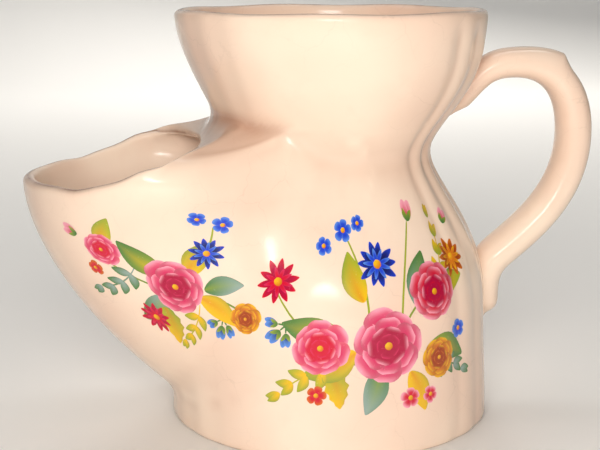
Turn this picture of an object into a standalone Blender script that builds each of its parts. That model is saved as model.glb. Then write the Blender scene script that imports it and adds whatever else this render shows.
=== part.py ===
"""Shaving scuttle: a waisted earthenware mug with a brush spout, a loop handle and a pierced soap tray.

Metres, +Z up, standing on z = 0, with the origin under the middle of the whole piece.
The spout points to -X and the handle to +X.
"""

import math

import bmesh
import bpy
import numpy as np
from mathutils import Vector

# Outside of the turned mug
HEIGHT = 0.110
RIM_RADIUS = 0.0415
WAIST_RADIUS = 0.0269
WAIST_HEIGHT = 0.0723
BELLY_RADIUS = 0.0424
BELLY_HEIGHT = 0.032
FOOT_RADIUS = 0.0435

# How far the outline runs upright from each of those places before it turns
BELLY_PULL = 0.021
UNDER_WAIST_PULL = 0.008
OVER_WAIST_PULL = 0.007
RIM_PULL = 0.020

# Wall, lips and foot ring
WALL = 0.0034
OFFSET_PASSES = 10
LIP_ROUND = 0.0014
LIP_EDGE_ANGLE = math.radians(60)
FOOT_RING_WIDTH = 0.0055
FOOT_RECESS = 0.0016

# Brush spout: its keel leaves the mug low down and sweeps up to the lip
SPOUT_REACH = 0.0818
LIP_HEIGHT = 0.067
KEEL_HEIGHT = 0.008
KEEL_ANGLE = math.radians(39)
KEEL_PULL = 0.0174
NOSE_PULL = 0.022
KEEL_NOSE_RADIUS = 0.010
NOSE_GROWTH = 0.6
SHOULDER_ROUND = 0.0055
SHOULDER_RISE = 0.0025
VALLEY_DEPTH = 0.0010
VALLEY_ROUND = 0.003
VALLEY_FALL = 0.012

# Mouth of the spout: an egg-shaped opening, level at the lip and rising to the mug's neck
MOUTH_NECK_END = 0.0365
MOUTH_MIDDLE = 0.050
MOUTH_HALF_WIDTH = 0.0365
MOUTH_RISE = 0.0092
MOUTH_LEVEL = 0.0115
LIP_SQUARENESS = 1.9
NECK_SQUARENESS = 2.4

# Roof of the spout, which meets the bowl in a crease and ends at each side in a ridge that climbs to the neck
CREASE_HEIGHT = 0.083
CREASE_ROUND = 0.003
ROOF_HOLLOW = 0.68
ROOF_RUN_ON = 2
ROOF_ROW_RISE = 0.008
ROOF_HALF_ANGLE = math.radians(64)
RIDGE_HEIGHT = 0.0805
MOUTH_CORNER = math.radians(20)
LIP_BLEND = 5

# Faces along and around the body
MOUTH_COLUMNS = 9
MOUTH_COLUMN_GROWTH = 1.3
SIDE_COLUMNS = 18
SIDE_COLUMN_GROWTH = 1.25
BELLY_ROWS = 15
ROOF_ROWS = 5
BOWL_ROWS = 8
BOWL_ROW_GROWTH = 1.3
EVENING_PASSES = 16
EVENING_SPEED = 4

# Loop handle, an oval strap whose two ends lie along the mug
HANDLE_TOP = 0.0999
HANDLE_REACH = 0.0728
HANDLE_REACH_HEIGHT = 0.0757
HANDLE_THICKNESS = 0.0095
HANDLE_WIDTH = 0.0125
HANDLE_STEM = 0.0120
UPPER_TAIL_HEIGHT = 0.0805
LOWER_TAIL_HEIGHT = 0.0250
LOWER_BEND_HEIGHT = 0.0425
LOWER_BEND_STAND = 0.0062
LOWER_BEND_ANGLE = math.radians(40)
TAIL_STAND = 0.0010
TAIL_TIP = 0.004
TAIL_SHARE = 0.88
TAIL_END_SHARE = 0.35
STEM_SHARE = 0.87

# How far the handle's middle line runs straight at each place, as a share of the way to the next
TAIL_PULL = 0.4
STEM_PULL = 0.7
TOP_PULL = 0.45
BACK_PULL = 0.45
BEND_PULL = 0.25

# Thumb spur at the top of the handle, and the bedding between the handle or the tray and the mug
SPUR_PLACE = 0.34
SPUR_HEIGHT = 0.0018
SPUR_RADIUS = 0.0044
SPUR_TIP_RADIUS = 0.0007
SEAT_GAP = 0.0003

# Pierced soap tray, seated in the bowl above the waist
TRAY_HEIGHT = 0.0870
TRAY_THICKNESS = 0.0034
TRAY_DISH = 0.005
TRAY_LEDGE = 0.005
TRAY_SLOPE = 0.006
DRAIN_RADIUS = 0.0026
DRAIN_RING_RADIUS = 0.0115
DRAIN_COUNT = 6

# Fineness of the curves, and distances that count as nothing
TURN_STEPS = 56
CURVE_POINTS = 64
EDGE_SAMPLES = 721
SECTION_STEPS = 4
PATH_STEPS = 9
SEAT_STRIDE = 4
SPUR_SIDES = 12
DRAIN_SIDES = 20
CIRCLE_PULL = 0.5523
SHARP_ANGLE = math.radians(50)
MERGE = 1e-5
TINY = 1e-9


def smooth_step(share):
    """0 below 0, 1 above 1, and an S-shaped rise between."""
    share = np.clip(share, 0, 1)
    return share * share * (3 - 2 * share)


def rounded_join(first, second, size):
    """The larger of two radii, with the corner where they cross filled over about that size."""
    overlap = np.maximum(1 - np.abs(first - second) / np.maximum(size, TINY), 0)
    return np.maximum(first, second) + overlap**2 * size / 4


def bezier(start, first_pull, second_pull, end):
    """Points of a cubic Bezier curve in a plane."""
    t = np.linspace(0, 1, CURVE_POINTS)
    weights = np.stack([(1 - t) ** 3, 3 * (1 - t) ** 2 * t, 3 * (1 - t) * t**2, t**3], axis=1)
    return weights @ np.array([start, first_pull, second_pull, end])


def turned_outline():
    """The mug's outside from foot to rim as (radius, height): drum, shoulder, waist and flaring bowl."""
    drum = bezier(
        (FOOT_RADIUS, 0),
        (FOOT_RADIUS, BELLY_HEIGHT / 3),
        (BELLY_RADIUS, BELLY_HEIGHT * 2 / 3),
        (BELLY_RADIUS, BELLY_HEIGHT),
    )
    shoulder = bezier(
        (BELLY_RADIUS, BELLY_HEIGHT),
        (BELLY_RADIUS, BELLY_HEIGHT + BELLY_PULL),
        (WAIST_RADIUS, WAIST_HEIGHT - UNDER_WAIST_PULL),
        (WAIST_RADIUS, WAIST_HEIGHT),
    )
    bowl = bezier(
        (WAIST_RADIUS, WAIST_HEIGHT),
        (WAIST_RADIUS, WAIST_HEIGHT + OVER_WAIST_PULL),
        (RIM_RADIUS, HEIGHT - RIM_PULL),
        (RIM_RADIUS, HEIGHT),
    )
    return np.vstack([drum, shoulder[1:], bowl[1:]])


TURNED = turned_outline()


def turned_radius(height):
    """Outside radius of the turned mug at a height."""
    return np.interp(height, TURNED[:, 1], TURNED[:, 0])


def inside_radius(height):
    """Inside radius of the bowl at a height, one wall square to the outside."""
    lean = np.interp(height, TURNED[:, 1], np.gradient(TURNED[:, 0], TURNED[:, 1]))
    return turned_radius(height) - WALL * math.hypot(1, lean)


def keel_outline():
    """The spout's foremost line as (reach, height), run on straight below where it leaves the mug."""
    start = np.array((turned_radius(KEEL_HEIGHT), KEEL_HEIGHT))
    rise = np.array((math.cos(KEEL_ANGLE), math.sin(KEEL_ANGLE)))
    lip = np.array((SPOUT_REACH, LIP_HEIGHT))
    sweep = bezier(start, start + KEEL_PULL * rise, lip - (0, NOSE_PULL), lip)
    return np.vstack([start - rise * KEEL_HEIGHT / rise[1], sweep])


KEEL = keel_outline()


def body_radius(angle, height):
    """Distance of the body's outside from the axis, at an angle from the spout and a height.

    Each level is the mug's circle and the spout's nose circle with straight flanks between them, and a
    rounded valley where a flank meets the mug.
    """
    mug = turned_radius(height)
    reach = np.interp(height, KEEL[:, 1], KEEL[:, 0])
    share = np.clip((height - KEEL_HEIGHT) / (LIP_HEIGHT - KEEL_HEIGHT), 0, 1)
    tuck = np.maximum(height - LIP_HEIGHT - SHOULDER_RISE, 0) ** 2 / (2 * SHOULDER_ROUND)
    nose = KEEL_NOSE_RADIUS + (MOUTH_HALF_WIDTH - KEEL_NOSE_RADIUS) * share**NOSE_GROWTH - tuck
    centre = reach - nose
    core = mug - VALLEY_DEPTH
    lean = np.arcsin(np.clip((core - nose) / centre, -1, 1))
    nose_touch = np.arctan2(nose * np.cos(lean), centre + nose * np.sin(lean))
    mug_touch = math.pi / 2 - lean
    arc = centre * np.cos(angle) + np.sqrt(np.maximum(nose**2 - (centre * np.sin(angle)) ** 2, 0))
    flank = core / np.sin(np.clip(angle + lean, nose_touch + lean, math.pi / 2))
    spout = np.where(angle < nose_touch, arc, flank)
    spout = np.where(core - nose >= centre, reach, spout)
    spout = spout - VALLEY_FALL * np.maximum(angle - mug_touch, 0)
    return rounded_join(mug, spout, VALLEY_ROUND)


def mouth_edge(turn):
    """The mouth's edge as (forward of the axis, sideways, height). Turn 0 is the lip, pi the neck end."""
    in_front = np.cos(turn) > 0
    power = 2 / np.where(in_front, LIP_SQUARENESS, NECK_SQUARENESS)
    end = np.where(in_front, SPOUT_REACH, MOUTH_NECK_END)
    forward = MOUTH_MIDDLE + (end - MOUTH_MIDDLE) * np.abs(np.cos(turn)) ** power
    sideways = MOUTH_HALF_WIDTH * np.abs(np.sin(turn)) ** power
    level_end = SPOUT_REACH - MOUTH_LEVEL
    rise = smooth_step((level_end - forward) / (level_end - MOUTH_NECK_END))
    return forward, sideways, LIP_HEIGHT + MOUTH_RISE * rise


def half_columns():
    """Angles from the spout to the handle, with the edge the belly ends at and the edge the roof starts at.

    Each edge is (radius, height). In front of the mouth's widest angle the two lie across the mouth from
    each other, and past it they are one line, the ridge that climbs to the neck.
    """
    turn = np.linspace(0, math.pi, EDGE_SAMPLES)
    forward, sideways, height = mouth_edge(turn)
    angle = np.arctan2(sideways, forward)
    widest = int(np.argmax(angle))

    lip_turn = turn[widest] * np.linspace(0, 1, MOUTH_COLUMNS + 1) ** MOUTH_COLUMN_GROWTH
    lip_forward, lip_sideways, lip_height = mouth_edge(lip_turn)
    front = np.arctan2(lip_sideways, lip_forward)
    across = mouth_edge(np.interp(front, angle[widest:][::-1], turn[widest:][::-1]))

    past = (math.pi - angle[widest]) * (np.arange(1, SIDE_COLUMNS + 1) / SIDE_COLUMNS) ** SIDE_COLUMN_GROWTH
    side = angle[widest] + past
    fade = 1 - smooth_step(past / (ROOF_HALF_ANGLE - angle[widest]))
    side_height = RIDGE_HEIGHT + (height[widest] - RIDGE_HEIGHT) * fade
    miss = math.hypot(forward[widest], sideways[widest]) - body_radius(angle[widest], height[widest])
    mug = turned_radius(side_height)
    shoulder = body_radius(side, side_height) + miss * (1 - smooth_step(past / MOUTH_CORNER))
    side_radius = mug + (shoulder - mug) * np.sqrt(fade)

    angles = np.concatenate([front, side])
    lower = np.concatenate([np.hypot(lip_forward, lip_sideways), side_radius])
    lower_height = np.concatenate([lip_height, side_height])
    upper = np.concatenate([np.hypot(across[0], across[1]), side_radius])
    upper_height = np.concatenate([across[2], side_height])
    return angles, (lower, lower_height), (upper, upper_height)


def evened(angles):
    """The same number of angles with their spacing smoothed, for rows away from the mouth."""
    angles = angles.copy()
    for _ in range(EVENING_PASSES):
        angles[1:-1] = (angles[:-2] + 2 * angles[1:-1] + angles[2:]) / 4
    return angles


def belly_rows(angles, edge):
    """(angle, radius, height) rows from the foot up to the mouth's lip and, behind it, to the ridge."""
    share = np.linspace(0, 1, BELLY_ROWS + 1)[:, None]
    height = share * edge[1]
    miss = edge[0] - body_radius(angles, edge[1])
    angles = angles + (evened(angles) - angles) * smooth_step((1 - share) * EVENING_SPEED)
    return angles, body_radius(angles, height) + miss * share**LIP_BLEND, height


def bowl_rows(angles, edge):
    """(angle, radius, height) rows over the spout's roof and up the bowl to the rim."""
    roof_end = np.maximum(crease_height(evened(angles), edge[1]), edge[1] + ROOF_ROW_RISE)
    roof_share = np.linspace(0, 1, ROOF_ROWS + 1)[:, None]
    bowl_share = np.linspace(0, 1, BOWL_ROWS + 1)[1:, None] ** BOWL_ROW_GROWTH
    roof_height = edge[1] + roof_share * (roof_end - edge[1])
    height = np.vstack([roof_height, roof_end + bowl_share * (HEIGHT - roof_end)])
    spread = np.vstack([np.sqrt(roof_share), np.ones_like(bowl_share)])
    angles = angles + (evened(angles) - angles) * spread

    crease = crease_height(angles, edge[1])
    left = np.clip((crease - height) / np.maximum(crease - edge[1], TINY), -ROOF_RUN_ON, 1)
    fall = 1 - (1 - left) ** ROOF_HOLLOW
    roof = turned_radius(crease) + (edge[0] - turned_radius(crease)) * fall
    open_share = (crease - edge[1]) / (CREASE_HEIGHT - edge[1])
    radius = rounded_join(roof, turned_radius(height), CREASE_ROUND * open_share)
    return angles, np.vstack([edge[0], radius[1:]]), height


def crease_height(angles, edge_height):
    """Height at which the spout's roof meets the bowl. The roof dies out at an angle to each side."""
    open_share = np.sqrt(np.maximum(1 - (angles / ROOF_HALF_ANGLE) ** 2, 0))
    return edge_height + (CREASE_HEIGHT - edge_height) * open_share


def foot_rows(angles):
    """(angle, radius, height) rows under the foot: the recess's edge and the ring that it stands on."""
    inner = FOOT_RADIUS - FOOT_RING_WIDTH
    radius = np.array((inner - 2 * FOOT_RECESS, inner, FOOT_RADIUS))[:, None]
    height = np.array((FOOT_RECESS, 0, 0))[:, None]
    return np.broadcast_arrays(evened(angles), radius, height)


def add_rows(mesh, angles, radius, height):
    """Adds a closed band of quads through rows of a half turn and their mirror image. Returns row 0."""
    half = np.stack([-radius * np.cos(angles), radius * np.sin(angles), height], axis=-1)
    points = np.concatenate([half, half[:, -2:0:-1] * (1, -1, 1)], axis=1)
    rows = [[mesh.verts.new(point) for point in row] for row in points]
    for below, above in zip(rows, rows[1:]):
        for i in range(len(below)):
            mesh.faces.new((below[i - 1], above[i - 1], above[i], below[i]))
    return rows[0]


def mesh_object(name, mesh, collection, material=None):
    """A new object from a bmesh, which is freed."""
    data = bpy.data.meshes.new(name)
    mesh.to_mesh(data)
    mesh.free()
    obj = bpy.data.objects.new(name, data)
    collection.objects.link(obj)
    if material:
        data.materials.append(material)
        data.shade_smooth()
        data.set_sharp_from_angle(angle=SHARP_ANGLE)
    return obj


def add_inside(mesh):
    """Adds the inside of the wall and closes the rim and the mouth between the two.

    The offsets are averaged with their neighbours', so that they don't cross behind a tight corner, and the
    rim is kept level.
    """
    mesh.normal_update()
    offsets = {vert: vert.normal * vert.calc_shell_factor() * WALL for vert in mesh.verts}
    for _ in range(OFFSET_PASSES):
        offsets = {
            vert: sum((offsets[edge.other_vert(vert)] for edge in vert.link_edges), offset)
            / (1 + len(vert.link_edges))
            for vert, offset in offsets.items()
        }
    for vert, offset in offsets.items():
        if vert.co.z > HEIGHT - LIP_ROUND:
            offset.z = 0
    open_loops = [edge.link_loops[0] for edge in mesh.edges if edge.is_boundary]
    open_ends = [(loop.link_loop_next.vert, loop.vert) for loop in open_loops]
    outside = list(mesh.faces)
    inside = {vert: mesh.verts.new(vert.co - offset) for vert, offset in offsets.items()}
    for face in outside:
        mesh.faces.new([inside[vert] for vert in reversed(face.verts)])
    for start, end in open_ends:
        mesh.faces.new((start, end, inside[end], inside[start]))


def make_body(parts, material):
    """The mug and its spout as one cast wall with rounded lips."""
    angles, lower, upper = half_columns()
    mesh = bmesh.new()
    recess = add_rows(mesh, *foot_rows(angles))
    mesh.faces.new(recess)
    add_rows(mesh, *belly_rows(angles, lower))
    add_rows(mesh, *bowl_rows(angles, upper))
    bmesh.ops.remove_doubles(mesh, verts=mesh.verts, dist=MERGE)
    bmesh.ops.recalc_face_normals(mesh, faces=mesh.faces)
    add_inside(mesh)
    body = mesh_object("body", mesh, parts, material)
    lips = body.modifiers.new("Lips", "BEVEL")
    lips.width = LIP_ROUND
    lips.segments = 2
    lips.limit_method = "ANGLE"
    lips.angle_limit = LIP_EDGE_ANGLE
    return body


def turned_object(name, outline, collection, material=None):
    """A shape turned round the Z axis from an outline of (radius, height) that runs down its outside."""
    mesh = bmesh.new()
    points = [mesh.verts.new((radius, 0, height)) for radius, height in outline]
    for first, second in zip(points, points[1:]):
        mesh.edges.new((first, second))
    obj = mesh_object(name, mesh, collection, material)
    turn = obj.modifiers.new("Turn", "SCREW")
    turn.steps = turn.render_steps = TURN_STEPS
    turn.use_merge_vertices = True
    turn.merge_threshold = MERGE
    return obj


def add_cut(obj, cutter, operation="DIFFERENCE"):
    """A Boolean modifier on obj with another object."""
    cut = obj.modifiers.new(cutter.name, "BOOLEAN")
    cut.operation = operation
    cut.object = cutter
    cut.solver = "EXACT"


def as_cutter(obj):
    """Marks a helper that is not a piece of the scuttle."""
    obj.hide_render = True
    obj.display_type = "WIRE"
    return obj


def beside_mug(height, stand):
    """A place on the handle's side at a height, that far out from the mug."""
    return Vector((turned_radius(height) + stand, height))


def handle_path():
    """The handle's middle line in the XZ plane: (place, pull before, pull after, share of the section)."""
    half = HANDLE_THICKNESS / 2
    stem_height = HANDLE_TOP - half
    tail_end = beside_mug(UPPER_TAIL_HEIGHT, 0)
    tail = beside_mug(UPPER_TAIL_HEIGHT + TAIL_TIP, TAIL_STAND)
    stem = beside_mug(stem_height, HANDLE_STEM)
    reach = Vector((HANDLE_REACH - half, HANDLE_REACH_HEIGHT))
    bend = beside_mug(LOWER_BEND_HEIGHT, LOWER_BEND_STAND)
    low_tail = beside_mug(LOWER_TAIL_HEIGHT + TAIL_TIP, TAIL_STAND)
    low_end = beside_mug(LOWER_TAIL_HEIGHT, 0)
    up_bowl = (tail - tail_end).normalized()
    out = Vector((1, 0))
    down = Vector((0, -1))
    inwards = Vector((-math.cos(LOWER_BEND_ANGLE), -math.sin(LOWER_BEND_ANGLE)))
    tip = TAIL_TIP / 3
    top_run = (reach - stem).length * TOP_PULL
    back_run = (reach - bend).length
    low_run = (bend - low_tail).length * TAIL_PULL
    return (
        (tail_end, up_bowl * tip, up_bowl * tip, TAIL_END_SHARE),
        (tail, up_bowl * tip, up_bowl * (stem - tail).length * TAIL_PULL, TAIL_SHARE),
        (stem, out * HANDLE_STEM * STEM_PULL, out * top_run, STEM_SHARE),
        (reach, down * top_run, down * back_run * BACK_PULL, 1),
        (bend, inwards * back_run * BEND_PULL, inwards * low_run, 1),
        (low_tail, down * low_run, down * tip, TAIL_SHARE),
        (low_end, down * tip, down * tip, TAIL_END_SHARE),
    )


def make_spur(helpers):
    """The pointed thumb spur, a cone square to the handle's bend that starts on its middle line."""
    (stem, _, after, _), (reach, before, _, _) = handle_path()[2:4]
    bend = bezier(stem, stem + after, reach - before, reach)
    i = round(SPUR_PLACE * (CURVE_POINTS - 1))
    along = Vector(bend[i + 1] - bend[i - 1]).normalized()
    length = HANDLE_THICKNESS / 2 + SPUR_HEIGHT
    mesh = bmesh.new()
    bmesh.ops.create_cone(
        mesh, cap_ends=True, segments=SPUR_SIDES, radius1=SPUR_RADIUS, radius2=SPUR_TIP_RADIUS, depth=length
    )
    spur = as_cutter(mesh_object("spur", mesh, helpers))
    outwards = Vector((-along.y, 0, along.x))
    spur.location = Vector((bend[i][0], 0, bend[i][1])) + outwards * length / 2
    spur.rotation_euler = outwards.to_track_quat("Z", "Y").to_euler()
    return spur


def make_handle(parts, helpers, material):
    """The strap swept along its middle line, with a thumb spur, cut to lie on the mug."""
    section = bpy.data.curves.new("handle_section", "CURVE")
    section.dimensions = "2D"
    section.resolution_u = SECTION_STEPS
    oval = section.splines.new("BEZIER")
    oval.bezier_points.add(3)
    for point, turn in zip(oval.bezier_points, range(4)):
        x, y = ((1, 0), (0, 1), (-1, 0), (0, -1))[turn]
        across, along = HANDLE_WIDTH / 2, HANDLE_THICKNESS / 2
        pull = Vector((-y * across, x * along, 0)) * CIRCLE_PULL
        point.co = (x * across, y * along, 0)
        point.handle_left = point.co - pull
        point.handle_right = point.co + pull
    oval.use_cyclic_u = True
    section_object = bpy.data.objects.new("handle_section", section)

    path = bpy.data.curves.new("handle_path", "CURVE")
    path.dimensions = "3D"
    path.resolution_u = PATH_STEPS
    path.bevel_mode = "OBJECT"
    path.bevel_object = section_object
    path.use_fill_caps = True
    line = path.splines.new("BEZIER")
    places = handle_path()
    line.bezier_points.add(len(places) - 1)
    for point, (place, before, after, share) in zip(line.bezier_points, places):
        point.co = (place.x, 0, place.y)
        point.handle_left = point.co - Vector((before.x, 0, before.y))
        point.handle_right = point.co + Vector((after.x, 0, after.y))
        point.radius = share
    path_object = bpy.data.objects.new("handle_path", path)
    for obj in (section_object, path_object):
        helpers.objects.link(obj)
    bpy.context.view_layer.update()
    graph = bpy.context.evaluated_depsgraph_get()
    swept = bpy.data.meshes.new_from_object(path_object.evaluated_get(graph))
    mesh = bmesh.new()
    mesh.from_mesh(swept)
    bmesh.ops.remove_doubles(mesh, verts=mesh.verts, dist=MERGE)
    bmesh.ops.recalc_face_normals(mesh, faces=mesh.faces)
    handle = mesh_object("handle", mesh, parts, material)
    bpy.data.meshes.remove(swept)
    for obj in (section_object, path_object):
        bpy.data.objects.remove(obj)

    add_cut(handle, make_spur(helpers), "UNION")
    wall = [(radius + SEAT_GAP, height) for radius, height in TURNED[::-SEAT_STRIDE]]
    seat = [(0, HEIGHT), *wall, (0, 0)]
    add_cut(handle, as_cutter(turned_object("handle_seat", seat, helpers)))
    return handle


def make_tray(parts, helpers, material):
    """The pierced tray for the soap: a ledge on the bowl's wall and a dished floor with drain holes."""
    under = TRAY_HEIGHT - TRAY_THICKNESS
    rim = inside_radius(TRAY_HEIGHT) - SEAT_GAP
    rim_under = inside_radius(under) - SEAT_GAP
    ledge = rim_under - TRAY_LEDGE
    floor = ledge - TRAY_SLOPE
    outline = (
        (0, TRAY_HEIGHT - TRAY_DISH),
        (floor, TRAY_HEIGHT - TRAY_DISH),
        (ledge, TRAY_HEIGHT),
        (rim, TRAY_HEIGHT),
        (rim_under, under),
        (ledge, under),
        (floor, under - TRAY_DISH),
        (0, under - TRAY_DISH),
    )
    tray = turned_object("soap_tray", outline, parts, material)
    places = [(0, 0)]
    for i in range(DRAIN_COUNT):
        turn = 2 * math.pi * i / DRAIN_COUNT
        places.append((DRAIN_RING_RADIUS * math.cos(turn), DRAIN_RING_RADIUS * math.sin(turn)))
    for i, (x, y) in enumerate(places):
        mesh = bmesh.new()
        bmesh.ops.create_cone(
            mesh,
            cap_ends=True,
            segments=DRAIN_SIDES,
            radius1=DRAIN_RADIUS,
            radius2=DRAIN_RADIUS,
            depth=2 * (TRAY_THICKNESS + TRAY_DISH),
        )
        drain = as_cutter(mesh_object(f"drain_{i}", mesh, helpers))
        drain.location = (x, y, TRAY_HEIGHT - TRAY_DISH)
        add_cut(tray, drain)
    return tray


def glaze(name, colour, roughness):
    """A Principled material with one colour."""
    material = bpy.data.materials.new(name)
    material.use_nodes = True
    shader = material.node_tree.nodes["Principled BSDF"]
    shader.inputs["Base Color"].default_value = (*colour, 1)
    shader.inputs["Roughness"].default_value = roughness
    shader.inputs["Metallic"].default_value = 0
    return material


def main():
    for obj in list(bpy.data.objects):
        bpy.data.objects.remove(obj)
    parts = bpy.data.collections.new("shaving_scuttle")
    helpers = bpy.data.collections.new("cutters")
    for collection in (parts, helpers):
        bpy.context.scene.collection.children.link(collection)

    make_body(parts, glaze("ivory_glaze_body", (0.83, 0.71, 0.60), 0.12))
    make_handle(parts, helpers, glaze("ivory_glaze_handle", (0.83, 0.71, 0.60), 0.12))
    make_tray(parts, helpers, glaze("ivory_glaze_tray", (0.80, 0.69, 0.58), 0.18))

    middle = bpy.data.objects.new("mug_axis", None)
    middle.location.x = (SPOUT_REACH - HANDLE_REACH) / 2
    parts.objects.link(middle)
    for collection in (parts, helpers):
        for obj in collection.objects:
            if obj is not middle:
                obj.parent = middle


main()
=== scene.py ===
"""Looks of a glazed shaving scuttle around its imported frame, laid out as an add-on and run as a script.

The wall of the mug, the handle, the soap tray and the printed sprays are surfaces worked out with numpy, in
metres and in the frame of the solids: +Z up, the spout to -X, the handle to +X, the near side to -Y.
"""

import math

import bpy
import numpy as np
from bpy.props import FloatProperty, FloatVectorProperty, PointerProperty
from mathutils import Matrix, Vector


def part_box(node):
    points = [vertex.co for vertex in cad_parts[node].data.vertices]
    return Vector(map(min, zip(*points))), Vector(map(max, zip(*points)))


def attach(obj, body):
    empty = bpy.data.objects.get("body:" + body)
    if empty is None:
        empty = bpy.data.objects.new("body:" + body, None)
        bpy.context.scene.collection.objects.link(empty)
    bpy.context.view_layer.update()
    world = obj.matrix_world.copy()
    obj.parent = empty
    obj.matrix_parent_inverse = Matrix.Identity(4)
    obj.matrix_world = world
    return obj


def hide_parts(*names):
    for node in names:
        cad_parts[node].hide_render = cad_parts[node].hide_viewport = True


bl_info = {
    "name": "Shaving Scuttle",
    "version": (1, 0, 0),
    "blender": (4, 5, 0),
    "location": "View3D > Sidebar > Scuttle",
    "description": "Builds a glazed shaving scuttle with its spout, handle, soap tray and flower sprays",
    "category": "Add Mesh",
}

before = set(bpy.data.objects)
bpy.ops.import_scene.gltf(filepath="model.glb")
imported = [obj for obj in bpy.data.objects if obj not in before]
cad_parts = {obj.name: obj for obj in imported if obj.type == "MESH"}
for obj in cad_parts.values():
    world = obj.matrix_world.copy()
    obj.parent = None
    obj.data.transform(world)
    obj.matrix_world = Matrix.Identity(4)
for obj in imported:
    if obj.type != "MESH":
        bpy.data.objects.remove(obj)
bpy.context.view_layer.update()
BODY_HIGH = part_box("body")[1]
HANDLE_LOW, HANDLE_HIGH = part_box("handle")
TRAY_LOW, TRAY_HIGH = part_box("soap_tray")
AXIS_X = (TRAY_LOW.x + TRAY_HIGH.x) / 2
MM = 0.001

# How far the mug's outline runs upright from foot, belly, waist and rim before it turns
BELLY_PULL = 21 * MM
UNDER_WAIST_PULL = 8 * MM
OVER_WAIST_PULL = 7 * MM
RIM_PULL = 20 * MM
FOOT_RING_WIDTH = 5.5 * MM
FOOT_RECESS = 1.6 * MM
FOOT_EDGE = 1.2 * MM
FOOT_RING_ROUND = 1 * MM
FOOT_EDGE_ROUND = 1.6 * MM

# Spout: its keel leaves the mug low down and sweeps up to the lip, and its flanks meet the mug in a valley
KEEL_HEIGHT = 8 * MM
KEEL_ANGLE = math.radians(39)
KEEL_PULL = 17.4 * MM
NOSE_PULL = 22 * MM
KEEL_NOSE_RADIUS = 10 * MM
NOSE_GROWTH = 0.6
SHOULDER_ROUND = 5.5 * MM
SHOULDER_RISE = 2.5 * MM
VALLEY_DEPTH = 1 * MM
VALLEY_ROUND = 3 * MM
VALLEY_FALL = 12 * MM

# Mouth and roof of the spout
MOUTH_NECK_END = 36.5 * MM
MOUTH_MIDDLE = 50 * MM
MOUTH_RISE = 9.2 * MM
MOUTH_LEVEL = 11.5 * MM
LIP_SQUARENESS = 1.9
NECK_SQUARENESS = 2.4
CREASE_ROUND = 3 * MM
ROOF_HOLLOW = 0.68
ROOF_RUN_ON = 2
ROOF_ROW_RISE = 8 * MM
ROOF_HALF_ANGLE = math.radians(64)
RIDGE_HEIGHT = 80.5 * MM
MOUTH_CORNER = math.radians(20)
LIP_BLEND = 5
LIP_ROUND = 0.42
SCALLOP_PITCH = 10.5 * MM
SCALLOP_DEPTH = 0.45 * MM

# Unevenness of a hand-finished pot: the bowl leans to the handle half way up and its rim is wavy
BOWL_LEAN = 1.1 * MM
RIM_WAVE = 0.35 * MM
RIM_WAVES = 7

# Faces of the wall before its subdivision
MOUTH_COLUMNS = 17
MOUTH_COLUMN_GROWTH = 1.3
SIDE_COLUMNS = 61
BELLY_ROWS = 30
ROOF_ROWS = 8
BOWL_ROWS = 18
BOWL_ROW_GROWTH = 1.15
LIP_ROWS = 5
EVENING_SPEED = 4

# Crisp creases by the handle, each on a column of faces, that fade to the foot and the rim
COLUMN = math.pi / (MOUTH_COLUMNS + SIDE_COLUMNS)
CREASES = COLUMN * np.array((54, 57, 63, 71, 78))
CREASE_TURNS = (-0.5, 0, 1, 2, 3)
SOFT_CREASE_SHARE = 0.7
FOOT_CREASE_SHARE = 0.45
CREASE_RISE_START = 10 * MM
CREASE_RISE_RUN = 50 * MM
RIM_FADE_SHARE = 0.8
RIM_FADE_START = 8 * MM
RIM_FADE_RUN = 6 * MM

# Soft swells in front, over the waist and low on the drum, and fine ones on the spout's nose
SWELL_PITCH = math.radians(14)
SWELL_PHASE = 0.7
SWELL_SHARE = 0.3
SWELL_FADES_PER_RADIAN = 6
SWELL_OVER_WAIST = 4 * MM
SWELL_RUN = 12 * MM
LOW_SWELL_END = 8 * MM
LOW_SWELL_RUN = 20 * MM
NOSE_FLUTE_END = math.radians(24)
NOSE_FLUTE_FADE = math.radians(6)
NOSE_FLUTE_PITCH = 4 * COLUMN
NOSE_FLUTE_SHARE = 0.25
NOSE_FLUTE_START = 20 * MM
NOSE_FLUTE_RUN = 30 * MM

# Glaze that pools under the bowl and in other hollows, with painted shade there as well, and glaze that runs
# thin on the crown of a lip
POOL_AND_SHADE_OVER_CREASE = 2.4 * MM
POOL_AND_SHADE_TAPER = 1.5
POOL_AND_SHADE_IN_CREASE = 0.75
POOL_AND_SHADE_IN_HOLLOWS = 0.24
HOLLOW_FULL = 0.12 * MM
CROWN_MIDDLE = 1.5
CROWN_SPREAD = 0.4

# Working of the wall and the curves
OFFSET_PASSES = 30
CURVE_POINTS = 96
EDGE_SAMPLES = 1441
WELD_DISTANCE = 1e-7
TINY = 1e-9

# Handle: where its middle line leaves and meets the mug, and how far it runs straight at each place
REACH_HEIGHT = 75.7 * MM
STEM_STAND = 12 * MM
UPPER_TAIL_HEIGHT = 82 * MM
LOWER_TAIL_HEIGHT = 25 * MM
LOWER_BEND_HEIGHT = 42.5 * MM
LOWER_BEND_STAND = 6.2 * MM
LOWER_BEND_ANGLE = math.radians(40)
TAIL_STAND = 1 * MM
TAIL_TIP = 4 * MM
TAIL_PULL = 0.4
STEM_PULL = 0.7
TOP_PULL = 0.45
BACK_PULL = 0.45
BEND_PULL = 0.25
HANDLE_TOP = 99.9 * MM
HANDLE_SECTION_POINTS = 32
HANDLE_ROWS = 110
HANDLE_BED = 1.3 * MM
SPUR_PLACE = 0.34
SPUR_RUN_UP = 12 * MM
SPUR_RUN_OUT = 3.5 * MM
SPUR_POINT = 1.6
SPUR_SPREAD = 1.5
SPUR_ROW_GAP = 0.4 * MM
SECTION_SQUARENESS = 2.25
SECTION_SHARES = (0.3, 0.66, 0.87, 1, 1, 0.88, 0.35)

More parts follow.
